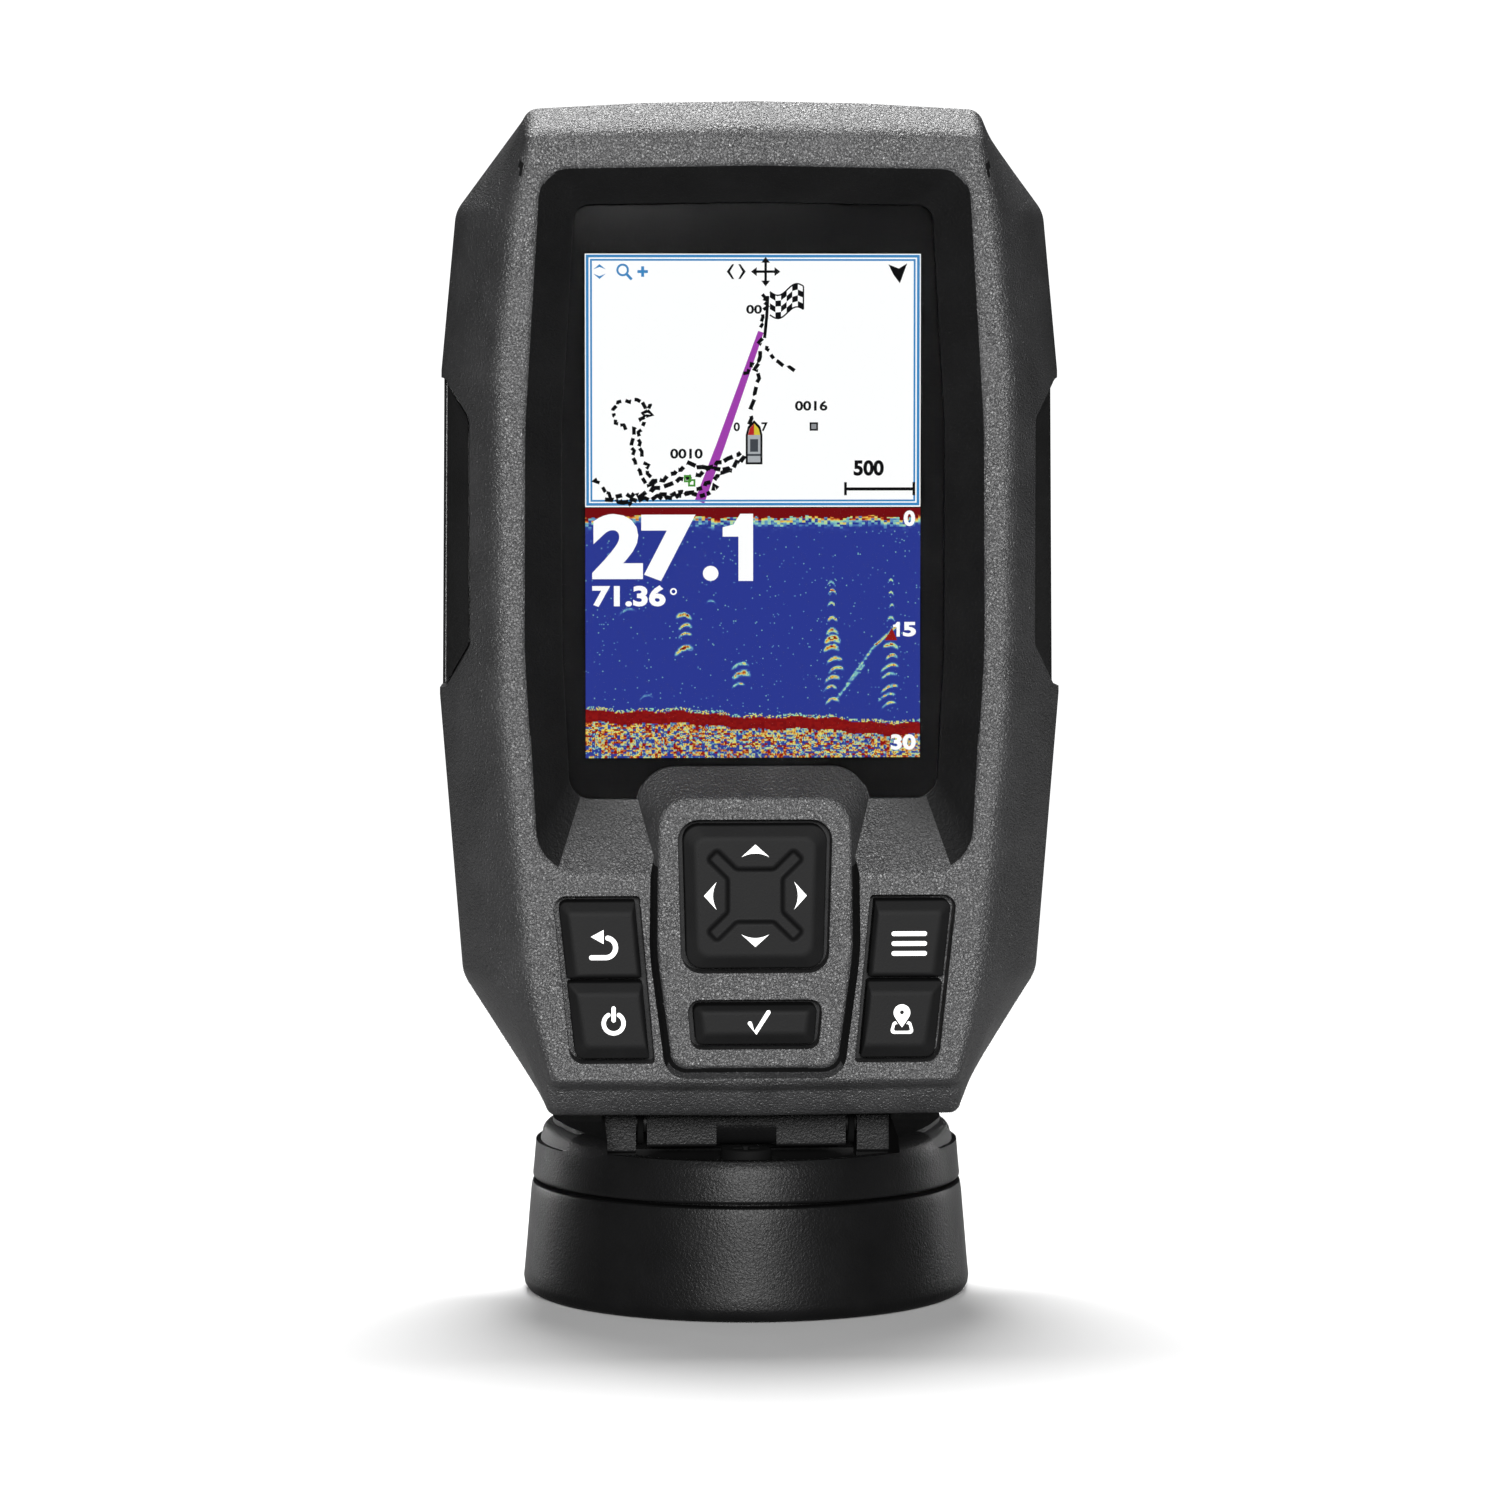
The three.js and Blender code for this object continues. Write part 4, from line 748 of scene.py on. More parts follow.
def rear_case():
    wide = [grown(silhouette, -d) for d in (0.75, 0.4, 0.9, 1.4, 2.6, 4.6, 6.6, 8.2, 8.9, 10.2)]
    depths = (PARTING + 0.22, PARTING + 0.6, 1.0, 5.0, 9.5, 12.4, 13.9, 14.75, BACK - 0.05, BACK)
    rings = [at(r, y) for r, y in zip(rings_of(wide, 7, 2.5), depths)]
    body = lofted("rear_shell", rings)

    slope = [(-6, HEAD_BOTTOM - 0.6), (PARTING, HEAD_BOTTOM + 0.05), (BACK, HEAD_BOTTOM + 20.7)]
    combine(body, across("foot_cut", [(-6, 0)] + slope + [(40, 77), (40, 0)], -60, 60))
    for side in (1, -1):
        fits = prism("flank", notch_corners(side, -0.22), FACE, PARTING + 3, 6, 2.0)
        outlines = [grown(outline, -0.9) for outline in (face_outline, silhouette, silhouette)]
        depths = (FACE + 1.4, WIDEST + 1.2, PARTING + 3)
        skin = [at(r, y) for r, y in zip(rings_of(outlines, 7, 2.0), depths)]
        combine(fits, lofted("skin", skin), "INTERSECT")
        combine(body, fits, "UNION")

    dock_top = box_mm("cradle")[1].z + 0.4
    half = box_mm("cradle")[1].x - 2.0 + 0.4
    floor = BACK - 4.8
    combine(body, block("channel", -half, half, floor, BACK + 2, 0, dock_top))
    combine(body, block("rails", -half - 2, half + 2, floor, floor + 2.6, 0, dock_top))
    for i in range(1, 7):
        low, high = box_mm(f"case_screw_{i}")
        x, z, seat = (low.x + high.x) / 2, (low.z + high.z) / 2, high.y - 2.0
        combine(body, rod("counterbore", "y", (x, z), 2.7, seat, BACK + 2, 40))
        combine(body, rod("clearance", "y", (x, z), 1.3, PARTING - 1, BACK, 24))
    combine(body, rod("socket_hole", "y", (0, SOCKET_HEIGHT), 8.3, BACK - 8, BACK + 2, 64))
    ring = rod("socket_ring", "y", (0, SOCKET_HEIGHT), 10.6, BACK - 0.5, BACK + 1, 64)
    combine(body, ring)
    smooth(body)
    return finished(body, DARK_CASE, "head", "dark_casing", "rear_case")


rear_case()

# ---------------------------------------------------------------- keys


def key_cap(name, base, top, crown=0.0):
    """A rubber key from its foot outline and the outline of its flat top, with soft edges."""
    soft_low, soft_top = 0.25, 0.5
    inset, high, low = rings_of([grown(top, -soft_top), top, base], 7, 1.6)
    y_top, y_low = FACE - KEY_PROUD, FACE - 0.02
    h, l, foot = at(high, y_top), at(low, y_low), at(low, FACE + 4.0)
    rings = curve3(at(inset, y_top), h, toward(h, l, soft_top), 5)
    rings += curve3(toward(l, h, soft_low), l, toward(l, foot, soft_low), 4)
    return lofted(name, rings + [foot])


def inset_sides(corners, left, right, low, high):
    """A four-cornered outline with each side moved in by its own distance."""
    xs = sum(c[0] for c in corners) / len(corners)
    zs = sum(c[1] for c in corners) / len(corners)
    return [
        (x + (left if x < xs else -right), z + (low if z < zs else -high), max(r - 0.5, 0.4))
        for x, z, r in corners
    ]


def cross_outline():
    quarter = [(2.65, 4.05), (5.6, 6.95), (7.2, 5.3), (4.2, 2.35)]
    radii = (0.8, 0.7, 0.7, 0.8)
    q1 = [(x, z, r) for (x, z), r in zip(quarter, radii)]
    q4 = [(x, -z, r) for x, z, r in reversed(q1)]
    right = q1 + q4
    left = [(-x, z, r) for x, z, r in reversed(right)]
    return [(x, DPAD_MIDDLE + 0.2 + z, r) for x, z, r in right + left]


def four_way_key():
    base = grown(dpad_opening, -KEY_GAP)
    key = key_cap("four_way_cap", base, inset_sides(base, 1.75, 1.75, 1.8, 1.9))
    outline = cross_outline()
    y_top = FACE - KEY_PROUD
    rim, top, floor, low = rings_of(
        [grown(outline, 0.45), outline, grown(outline, -0.42), grown(outline, -0.72)], 5, 1.0
    )
    t, f = at(top, y_top), at(floor, y_top + 0.85)
    rings = [at(rim, y_top - 2)] + curve3(at(rim, y_top - 0.005), t, toward(t, f, 0.42), 4)
    rings += curve3(toward(f, t, 0.3), f, at(low, y_top + 0.85), 3)
    combine(key, lofted("cross_cutter", rings))
    smooth(key, 40)
    return finished(key, KEY_RUBBER, "four_way_pad", "key_rubber", "four_way_key")


def select_key():
    base = grown(select_opening, -KEY_GAP)
    key = key_cap("select_cap", base, inset_sides(base, 1.3, 1.3, 1.6, 0.9))
    smooth(key, 40)
    return finished(key, KEY_RUBBER, "select", "key_rubber", "select_key")


def side_key(name, body, node, side, upper):
    outline = grown(pair_opening(side), -KEY_GAP)
    split = SIDE_KEYS_SPLIT + (0.3 if upper else -0.3)

    def x_at(a, b):
        return a[0] + (b[0] - a[0]) * (split - a[1]) / (b[1] - a[1])

    outer_top, inner_top, inner_bottom, outer_bottom = outline
    outer_mid, inner_mid = x_at(outer_top, outer_bottom), x_at(inner_top, inner_bottom)
    if upper:
        base = [outer_top, inner_top, (inner_mid, split, 0.4), (outer_mid, split, 0.4)]
    else:
        base = [(outer_mid, split, 0.4), (inner_mid, split, 0.4), inner_bottom, outer_bottom]
    outer, inner = (1.5, 0.45)
    left, right = (inner, outer) if side > 0 else (outer, inner)
    low, high = (0.35, 1.7) if upper else (1.8, 1.7)
    key = key_cap(name, base, inset_sides(base, left, right, low, high))
    smooth(key, 40)
    return finished(key, KEY_RUBBER, body, "key_rubber", node)


four_way_key()
select_key()
side_key("back_cap", "back", "back_key", -1, True)
side_key("power_cap", "power", "power_key", -1, False)
side_key("menu_cap", "menu", "menu_key", 1, True)
side_key("mark_cap", "mark", "mark_key", 1, False)

# ---------------------------------------------------------------- key symbols

SYMBOL_DEPTH = FACE - KEY_PROUD


def plate_of(name, loops, y, thick=0.05):
    """Flat raised shapes from closed loops of (x, z) points."""
    plates = []
    for loop in loops:
        ring = np.array(loop, float)
        plates.append(lofted(name, [at(ring, y - thick), at(ring, y + 0.02)]))
    return joined(name, plates)


def arc(cx, cz, radius, start, end, steps=28):
    return [
        (cx + radius * math.cos(math.radians(a)), cz + radius * math.sin(math.radians(a)))
        for a in np.linspace(start, end, steps)
    ]


def stroke(points, width):
    """A ribbon with round ends along points."""
    p = np.array(points, float)
    d = np.gradient(p, axis=0)
    d /= np.linalg.norm(d, axis=1, keepdims=True)
    n = np.column_stack([-d[:, 1], d[:, 0]])
    half = width / 2
    loop = []
    for side, end, across_end in ((p + n * half, p[-1], n[-1]), ((p - n * half)[::-1], p[0], -n[0])):
        a = math.degrees(math.atan2(across_end[1], across_end[0]))
        loop += [tuple(v) for v in side] + arc(end[0], end[1], half, a, a - 180, 10)[1:-1]
    return loop


def line(a, b, steps):
    return [tuple(np.array(a) + (np.array(b) - np.array(a)) * t) for t in np.linspace(0, 1, steps)]


def arrow_head(angle):
    """A hollow-backed arrow head round the four-way key's middle, pointing out at an angle."""
    out = 6.35
    tip, wing = (0, out + 1.15), 2.05
    back = [(-wing, out - 0.7)] + [
        (x, out - 0.7 + 0.55 * (1 - (x / wing) ** 2)) for x in np.linspace(-wing * 0.8, wing * 0.8, 9)
    ] + [(wing, out - 0.7)]
    c, s = math.cos(math.radians(angle)), math.sin(math.radians(angle))
    return [(x * c - z * s, DPAD_MIDDLE + 0.2 + x * s + z * c) for x, z in back + [tip]]


def symbols():
    y = SYMBOL_DEPTH
    arrows = plate_of("four_way_symbols", [arrow_head(a) for a in (0, 90, 180, 270)], y)
    finished(arrows, ICON, "four_way_pad", "key_rubber")

    x, z = -22.0, 55.25
    hook = arc(x + 0.15, z - 0.45, 1.45, 78, -90, 30) + line((x - 0.2, z - 1.9), (x - 1.9, z - 1.9), 4)
    head = [(x - 2.0, z + 1.15), (x - 0.15, z + 2.15), (x - 0.15, z + 0.1)]
    finished(plate_of("back_symbol", [stroke(hook, 0.72), head], y), ICON, "back", "key_rubber")

    x, z = -20.7, 43.95
    ring = stroke(arc(x, z - 0.25, 1.45, 122, 418, 40), 0.62)
    bar = stroke(line((x, z + 1.95), (x, z + 0.2), 3), 0.62)
    finished(plate_of("power_symbol", [ring, bar], y), ICON, "power", "key_rubber")

    x, z = 22.5, 55.2
    bars = [stroke(line((x - 2.25, z + dz), (x + 2.25, z + dz), 3), 0.68) for dz in (1.45, 0.0, -1.45)]
    finished(plate_of("menu_symbol", bars, y), ICON, "menu", "key_rubber")

    x, z = 21.45, 43.95
    outer = [
        (x - 1.3, z - 0.15, 0.6), (x + 1.3, z - 0.15, 0.6), (x + 1.8, z - 2.0, 0.5), (x - 1.8, z - 2.0, 0.5),
    ]
    drop = arc(x, z + 1.1, 1.22, -30, 210, 30) + [(x - 0.42, z - 0.5), (x, z - 1.05), (x + 0.42, z - 0.5)]
    pad = plate_of("mark_pad", [rounded(outer)], y)
    combine(pad, prism("pad_inside", grown(outer, -0.42), y - 1, y + 1))
    wider = [(x + (a - x) * 1.3, z + 0.4 + (b - z - 0.4) * 1.22) for a, b in drop]
    combine(pad, plate_of("halo", [wider], y, 0.5))
    pin = plate_of("mark_pin", [drop], y)
    combine(pin, rod("pin_eye", "y", (x, z + 1.15), 0.3, y - 1, y + 1, 20))
    finished(joined("mark_symbol", [pad, pin]), ICON, "mark", "key_rubber")

    x, z = 0.55, 43.5
    tick = stroke([(x - 1.35, z + 0.1), (x - 0.55, z - 1.3), (x + 1.35, z + 1.7)], 0.62)
    finished(plate_of("select_symbol", [tick], y), ICON, "select", "key_rubber")


symbols()

# ---------------------------------------------------------------- lens, print and display

SHEET = PANEL_FRONT - 0.12
PIXEL = 2 * SCREEN_HALF / 320
PIXEL_TALL = (SCREEN_TOP - SCREEN_BOTTOM) / 480


def lens():
    front, edge = rings_of([grown(lens_outline, -0.3), grown(lens_outline, -0.12)], 9, 3.0)
    body = lofted("lens_slab", [at(front, LENS_FRONT), at(edge, LENS_FRONT + 0.18), at(edge, LENS_BACK)])
    cut = prism("lens_notch", grown(panel_foot, 0.25), LENS_FRONT - 2, LENS_BACK + 2, 8, 3.0)
    combine(body, cut)
    smooth(body)
    return finished(body, GLASS, "head", "lens", "lens")


def lens_print():
    """The black border printed on the back of the lens, with the window left clear."""
    body = prism("lens_border", grown(lens_outline, -0.14), LENS_BACK + 0.03, LENS_BACK + 0.1, 9, 3.0)
    combine(body, prism("notch", grown(panel_foot, 0.2), LENS_BACK - 2, LENS_BACK + 2, 8, 3.0))
    w, h0, h1 = SCREEN_HALF + 0.12, SCREEN_BOTTOM - 0.12, SCREEN_TOP + 0.12
    combine(body, block("window", -w, w, LENS_BACK - 2, LENS_BACK + 2, h0, h1))
    return finished(body, PRINT_AND_SHADE, "head", "lens", "lens_tape")


lens()
lens_print()


def on_screen(px, py, layer=0):
    """A place on the display, in its own 320 by 480 pixels from the top left, as a frame point."""
    return (-SCREEN_HALF + px * PIXEL, SHEET - 0.012 * layer, SCREEN_TOP - py * PIXEL_TALL)


def screen_shapes(name, loops, layer, colour):
    """Flat lit shapes on the display, from loops of display pixels."""
    verts, faces = [], []
    for loop in loops:
        faces.append(tuple(range(len(verts), len(verts) + len(loop))))
        verts += [on_screen(px, py, layer) for px, py in loop]
    made = new_object(name, verts, faces)
    bm = bmesh.new()
    bm.from_mesh(made.data)
    bmesh.ops.triangulate(bm, faces=bm.faces)
    for f in bm.faces:
        if f.normal.y > 0:
            f.normal_flip()
    bm.to_mesh(made.data)
    bm.free()
    made.data.materials.append(lit(name + "_light", colour))
    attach(made, "head")
    return made


def rectangle(x0, y0, x1, y1):
    return [(x0, y0), (x1, y0), (x1, y1), (x0, y1)]


def outline_of(x0, y0, x1, y1, width):
    w = width
    return [
        rectangle(x0, y0, x1, y0 + w),
        rectangle(x0, y1 - w, x1, y1),
        rectangle(x0, y0 + w, x0 + w, y1 - w),
        rectangle(x1 - w, y0 + w, x1, y1 - w),
    ]


def numerals(text, left, top, right, bottom, bold=0.03):
    """Loops of numerals on the display that fill a box of display pixels."""
    curve = bpy.data.curves.new("numerals", "FONT")
    curve.body = text
    curve.offset = bold
    curve.resolution_u = 4
    obj = bpy.data.objects.new("numerals", curve)
    bpy.context.scene.collection.objects.link(obj)
    mesh = evaluated_mesh(obj)
    flat = np.array([v.co[:2] for v in mesh.vertices])
    low, high = flat.min(0), flat.max(0)
    share = (flat - low) / (high - low)
    points = np.column_stack([left + share[:, 0] * (right - left), bottom - share[:, 1] * (bottom - top)])
    loops = [[tuple(points[i]) for i in p.vertices] for p in mesh.polygons]
    bpy.data.meshes.remove(mesh)
    bpy.data.objects.remove(obj)
    bpy.data.curves.remove(curve)
    return loops


def numeral_one(left, top, right, bottom):
    """A bold figure one with a flag, which the built-in typeface draws as a bare bar."""
    shape = [(1, 0), (1, 1), (0.52, 1), (0.52, 0.34), (0, 0.34), (0, 0.2), (0.35, 0.16), (0.58, 0)]
    return [(left + u * (right - left), top + v * (bottom - top)) for u, v in shape]


def ribbon(points, width, end_width=None):
    """A plain ribbon on the display whose width may change along it."""
    p = np.array(points, float)
    d = np.gradient(p, axis=0)
    d /= np.linalg.norm(d, axis=1, keepdims=True)
    n = np.column_stack([-d[:, 1], d[:, 0]])
    w = np.linspace(width, width if end_width is None else end_width, len(p))[:, None] / 2
    left, right = p + n * w, p - n * w
    quads = zip(left[:-1], left[1:], right[1:], right[:-1])
    return [[tuple(corner) for corner in quad] for quad in quads]


def dashes(points, width, dash, gap, seed):
    """Broken track along points, whose dashes bend a little."""
    wander = 2.1
    rng = np.random.default_rng(seed)
    p = np.array(points, float)
    steps = np.linalg.norm(np.diff(p, axis=0), axis=1)
    along = np.concatenate([[0], np.cumsum(steps)])
    made, s = [], rng.uniform(0, gap)
    while s < along[-1]:
        e = min(s + dash * rng.uniform(0.6, 1.4), along[-1])
        q = [np.array([np.interp(t, along, p[:, k]) for k in (0, 1)]) for t in (s, (s + e) / 2, e)]
        q[1] = q[1] + rng.normal(0, wander, 2)
        if np.linalg.norm(q[2] - q[0]) > 0.5:
            made += ribbon(q, width)
        s = e + gap * rng.uniform(0.5, 1.6)
    return made


def sonar_picture():
    """The echo picture as a grid of coloured cells: surface clutter, fish and the bottom."""
    wide, tall = 320, 240
    top, bottom = 241.5, 480.0
    rng = np.random.default_rng(11)
    x = (np.arange(wide) + 0.5) * 320 / wide
    y = top + (np.arange(tall) + 0.5) * (bottom - top) / tall
    gx, gy = np.meshgrid(x, y)
    noise = rng.random((tall, wide))
    coarse = np.kron(rng.random((tall // 2 + 1, wide // 3 + 1)), np.ones((2, 3)))[:tall, :wide]
    speck = 0.3 * noise + 0.7 * coarse
    echo = np.zeros_like(gx)

    surface = 250 + 1.2 * np.sin(gx * 0.11) + 0.8 * np.sin(gx * 0.31 + 1)
    echo = np.where(gy < surface, 1.0, echo)
    clutter = np.exp(-np.clip(gy - surface, 0, None) / 7.0)
    echo = np.maximum(echo, np.where(gy >= surface, clutter * (0.35 + 1.3 * coarse) - 0.16, 0))

    swell = 1.5 * np.sin(gx * 0.05) + 1.0 * np.sin(gx * 0.17 + 2)
    floor = 433 + 14.5 * gx / 320 + swell + 1.5 * (coarse - 0.5)
    depth = gy - floor
    echo = np.where((depth > 0) & (depth < 11.5), 0.94 + 0.06 * speck, echo)
    below = np.clip((depth - 11.5) / 26, 0, 1)
    grainy = 0.66 - 0.22 * below + (speck - 0.5) * (1.9 + 0.5 * below)
    classes = np.digitize(grainy, [0.12, 0.3, 0.45, 0.62, 0.8, 1.0])
    grainy = np.array([0.03, 0.2, 0.38, 0.55, 0.62, 0.78, 0.95])[classes]
    echo = np.where(depth >= 11.5, grainy, echo)
    edge = (depth > -3) & (depth <= 0) & (noise > 0.55)
    echo = np.where(edge, 0.3 + 0.4 * speck, echo)

    def fish(cx, cy, half, thick, peak, lean=0.0, drop=4.0):
        """One arch: high in the middle, falling towards its ends."""
        nonlocal echo
        u = (gx - cx) / half
        line_y = cy + drop * u * u + lean * (gx - cx)
        across_line = np.exp(-(((gy - line_y) / thick) ** 2))
        along_line = np.clip(1.15 - np.abs(u) ** 2.2, 0, 1) * (np.abs(u) < 1.05)
        echo = np.maximum(echo, across_line * along_line * peak * (0.42 + 1.0 * speck))

    for cx, cy, half, thick, peak, lean in [
        (94, 343, 8, 2.0, 0.95, 0.1), (95, 353, 7, 1.6, 0.75, -0.3), (95, 361, 7, 1.4, 0.7, -0.25),
        (94, 375, 9, 2.4, 0.9, -0.35), (148, 390, 9, 1.6, 0.7, -0.2), (149, 399, 9, 2.6, 0.85, -0.25),
        (146, 409, 7, 1.4, 0.55, -0.2), (235, 312, 4, 1.2, 0.6, 0.2), (236, 320, 4, 1.4, 0.75, 0.1),
        (235, 332, 4, 1.4, 0.6, 0.1), (236, 346, 5, 1.6, 0.8, 0), (236, 358, 6, 2.0, 0.9, 0),
        (236, 366, 8, 3.0, 1.0, -0.1), (235, 374, 8, 2.4, 0.95, -0.1), (238, 385, 8, 1.8, 0.8, -0.2),
        (240, 394, 8, 1.6, 0.7, -0.2), (236, 403, 8, 1.8, 0.8, -0.25), (234, 412, 7, 1.5, 0.6, -0.2),
        (236, 424, 7, 1.6, 0.65, -0.2), (292, 310, 3, 1.0, 0.5, 0.1), (292, 322, 3, 1.2, 0.55, 0),
        (293, 334, 3, 1.1, 0.5, 0), (292, 346, 4, 1.4, 0.7, 0), (292, 372, 8, 2.0, 0.8, 0.1),
        (293, 382, 6, 1.6, 0.7, -0.1), (291, 392, 9, 1.6, 0.75, -0.3), (290, 400, 8, 1.4, 0.6, -0.3),
        (291, 412, 9, 1.5, 0.7, -0.35), (288, 420, 9, 1.4, 0.6, -0.4), (290, 428, 8, 1.4, 0.6, -0.4),
        (40, 338, 9, 1.4, 0.4, -0.25), (120, 330, 6, 1.2, 0.3, 0.1), (58, 420, 7, 1.2, 0.35, -0.2),
    ]:
        fish(cx, cy, half, thick, peak, lean)
    trails = [(277, 372, 250, 410, 0.5), (266, 392, 240, 424, 0.45), (300, 352, 276, 374, 0.8)]
    for x0, y0, x1, y1, peak in trails:
        run, rise = x1 - x0, y1 - y0
        t = np.clip(((gx - x0) * run + (gy - y0) * rise) / (run**2 + rise**2), 0, 1)
        gap = np.hypot(gx - x0 - t * run, gy - y0 - t * rise)
        echo = np.maximum(echo, np.exp(-((gap / 1.3) ** 2)) * peak * (0.3 + 1.0 * speck))
    stray = (noise > 0.991) & (gy > 262) & (depth < -3)
    echo = np.where(stray, 0.22 + 0.2 * coarse, echo)

    stops = np.array([0.0, 0.16, 0.3, 0.45, 0.6, 0.75, 0.88, 1.0])
    colours = np.array([
        linear(44, 58, 150), linear(52, 70, 160), linear(96, 150, 200), linear(150, 220, 190),
        linear(238, 226, 100), linear(232, 150, 60), linear(176, 30, 22), linear(118, 8, 14),
    ])
    rgb = np.stack([np.interp(np.clip(echo, 0, 1), stops, colours[:, k]) for k in range(3)], -1)
    return rgb, top, bottom


def sonar_screen():
    rgb, top, bottom = sonar_picture()
    tall, wide = rgb.shape[:2]
    xs = np.linspace(0, 320, wide + 1)
    ys = np.linspace(top, bottom, tall + 1)
    verts = [on_screen(px, py, 1) for py in ys for px in xs]
    row = wide + 1
    faces = [
        (j * row + i, (j + 1) * row + i, (j + 1) * row + i + 1, j * row + i + 1)
        for j in range(tall)
        for i in range(wide)
    ]
    mesh = bpy.data.meshes.new("sonar_picture")
    mesh.from_pydata([tuple(np.array(v) * MM) for v in verts], [], faces)
    layer = mesh.color_attributes.new("echo", "FLOAT_COLOR", "CORNER")
    flat = np.concatenate([rgb.reshape(-1, 3), np.ones((tall * wide, 1))], 1)
    layer.data.foreach_set("color", np.repeat(flat, 4, axis=0).astype(np.float32).ravel())
    made = bpy.data.objects.new("sonar_picture", mesh)
    bpy.context.scene.collection.objects.link(made)
    mesh.materials.append(lit("sonar_light", attribute="echo"))
    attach(made, "head")
    return made


def display():
    low, high = box_mm("display_panel")
    slab = block("display_slab", low.x, high.x, low.y, high.y, low.z, high.z)
    finished(slab, PRINT_AND_SHADE, "head", "display", "display_panel")

    white, black = (1.1, 1.1, 1.1, 1), linear(12, 12, 14)
    blue, purple, grey = linear(62, 140, 200), linear(166, 66, 178), linear(150, 152, 156)
    screen_shapes("screen_ground", [rectangle(0, 0, 320, 480)], 0, black)
    screen_shapes("chart_ground", [rectangle(0, 0, 320, 240.5)], 1, white)
    sonar_screen()

    frames = outline_of(1.0, 1.0, 319, 239.2, 2.6) + outline_of(5.0, 5.0, 315, 235.4, 1.8)
    chevrons = [[(8, 15), (14, 10), (20, 15), (14, 12.6)], [(8, 19), (14, 24), (20, 19), (14, 21.4)]]
    glass_ring = ribbon(arc(36, 15.5, 5, 0, 360, 24), 2)
    handle = ribbon([(39.6, 19.2), (44.5, 24.5)], 2.6)
    plus = [rectangle(50, 15.6, 60, 18.4), rectangle(53.6, 12, 56.4, 22)]
    screen_shapes("chart_blue_marks", frames + chevrons + glass_ring + handle + plus, 3, blue)

    route = [(167.5, 74), (149, 126), (129, 182), (109, 235.5)]
    screen_shapes("route_line", ribbon(route, 5.5, 9.5), 3, purple)

    tracks = []
    for seed, width, dash, gap, points in [
        (1, 1.7, 5, 3, [
            (40, 168), (30, 160), (26, 148), (34, 140), (46, 138), (58, 142), (60, 152), (52, 160)]),
        (2, 1.7, 6, 3, [(48, 166), (44, 182), (46, 196), (54, 212), (62, 226)]),
        (3, 1.7, 6, 4, [(62, 142), (56, 160), (50, 178), (56, 200), (66, 218)]),
        (4, 2.0, 7, 3, [(16, 234), (40, 228), (62, 226), (88, 216), (110, 208), (134, 196), (150, 188)]),
        (5, 2.0, 7, 3, [(30, 236), (58, 234), (84, 232), (106, 226), (124, 214), (146, 200), (152, 192)]),
        (6, 1.6, 5, 4, [(10, 212), (24, 232), (44, 236)]),
        (7, 2.0, 6, 3, [(60, 220), (80, 210), (98, 200), (120, 204), (140, 206)]),
        (8, 2.0, 5, 3, [(70, 230), (92, 226), (112, 230), (128, 222)]),
        (9, 1.8, 7, 5, [(170, 76), (166, 96), (164, 120), (160, 146), (156, 162)]),
        (10, 1.7, 6, 4, [(172, 84), (178, 98), (188, 106), (202, 112)]),
        (12, 1.7, 5, 3, [(150, 114), (158, 108), (166, 100)]),
        (13, 1.6, 5, 3, [(168, 36), (171, 46), (169, 58), (167, 70)]),
    ]:
        tracks += dashes(points, width * 2.1, dash, gap, seed)
    scale = [rectangle(247, 222, 315, 225)] + [rectangle(x, 217, x + 2.6, 229.5) for x in (247, 312.4)]
    chevrons = [[(140, 10), (135, 17), (140, 24), (142, 24), (138, 17), (142, 10)],
                [(148, 10), (153, 17), (148, 24), (146, 24), (150, 17), (146, 10)]]
    hand = [rectangle(162, 15.8, 182, 18.2), rectangle(170.8, 7, 173.2, 27),
            [(158, 17), (163.5, 12.8), (163.5, 21.2)], [(186, 17), (180.5, 12.8), (180.5, 21.2)],
            [(172, 3), (167.8, 8.5), (176.2, 8.5)], [(172, 31), (167.8, 25.5), (176.2, 25.5)]]
    compass = [[(289, 10), (299, 14), (300, 28), (294, 20)], [(299, 14), (307, 9), (300, 28)]]
    labels = numerals("0016", 200, 139.5, 231, 149) + numerals("0010", 81, 185, 112, 194.5)
    labels += numerals("00", 153.5, 48.5, 168.5, 57) + numerals("500", 256, 196, 285, 211, 0.04)
    labels += numerals("0", 141.5, 160, 147.5, 168.5) + numerals("7", 168, 160, 174, 168.5)
    square = outline_of(214, 160, 222, 168, 1.6)
    marks = tracks + scale + chevrons + hand + compass + labels + square
    screen_shapes("chart_black_marks", marks, 4, black)
    screen_shapes("waypoint_fill", [rectangle(215.6, 161.6, 220.4, 166.4)], 3, grey)

    columns, rows = 6, 4

    def on_flag(u, v):
        return (176 + 32 * u, 36 + 22 * v + 4.5 * math.sin(u * 6.0) - 4 * u)

    pole = ribbon([(174, 40), (173, 60), (171, 80)], 3.0)
    dark_cells, white_cells = [], []
    for i in range(columns):
        for j in range(rows):
            ends = [(i, j), (i + 1, j), (i + 1, j + 1), (i, j + 1)]
            cells = dark_cells if (i + j) % 2 == 0 else white_cells
            cells.append([on_flag(a / columns, b / rows) for a, b in ends])
    rim = [on_flag(u, 0) for u in np.linspace(0, 1, 14)]
    low_rim = [on_flag(u, 1) for u in np.linspace(0, 1, 14)]
    edges = ribbon(rim, 1.4) + ribbon(low_rim, 1.4) + ribbon([rim[-1], low_rim[-1]], 1.4)
    screen_shapes("flag_black", dark_cells + pole + edges, 6, black)
    screen_shapes("flag_white", white_cells, 5, white)

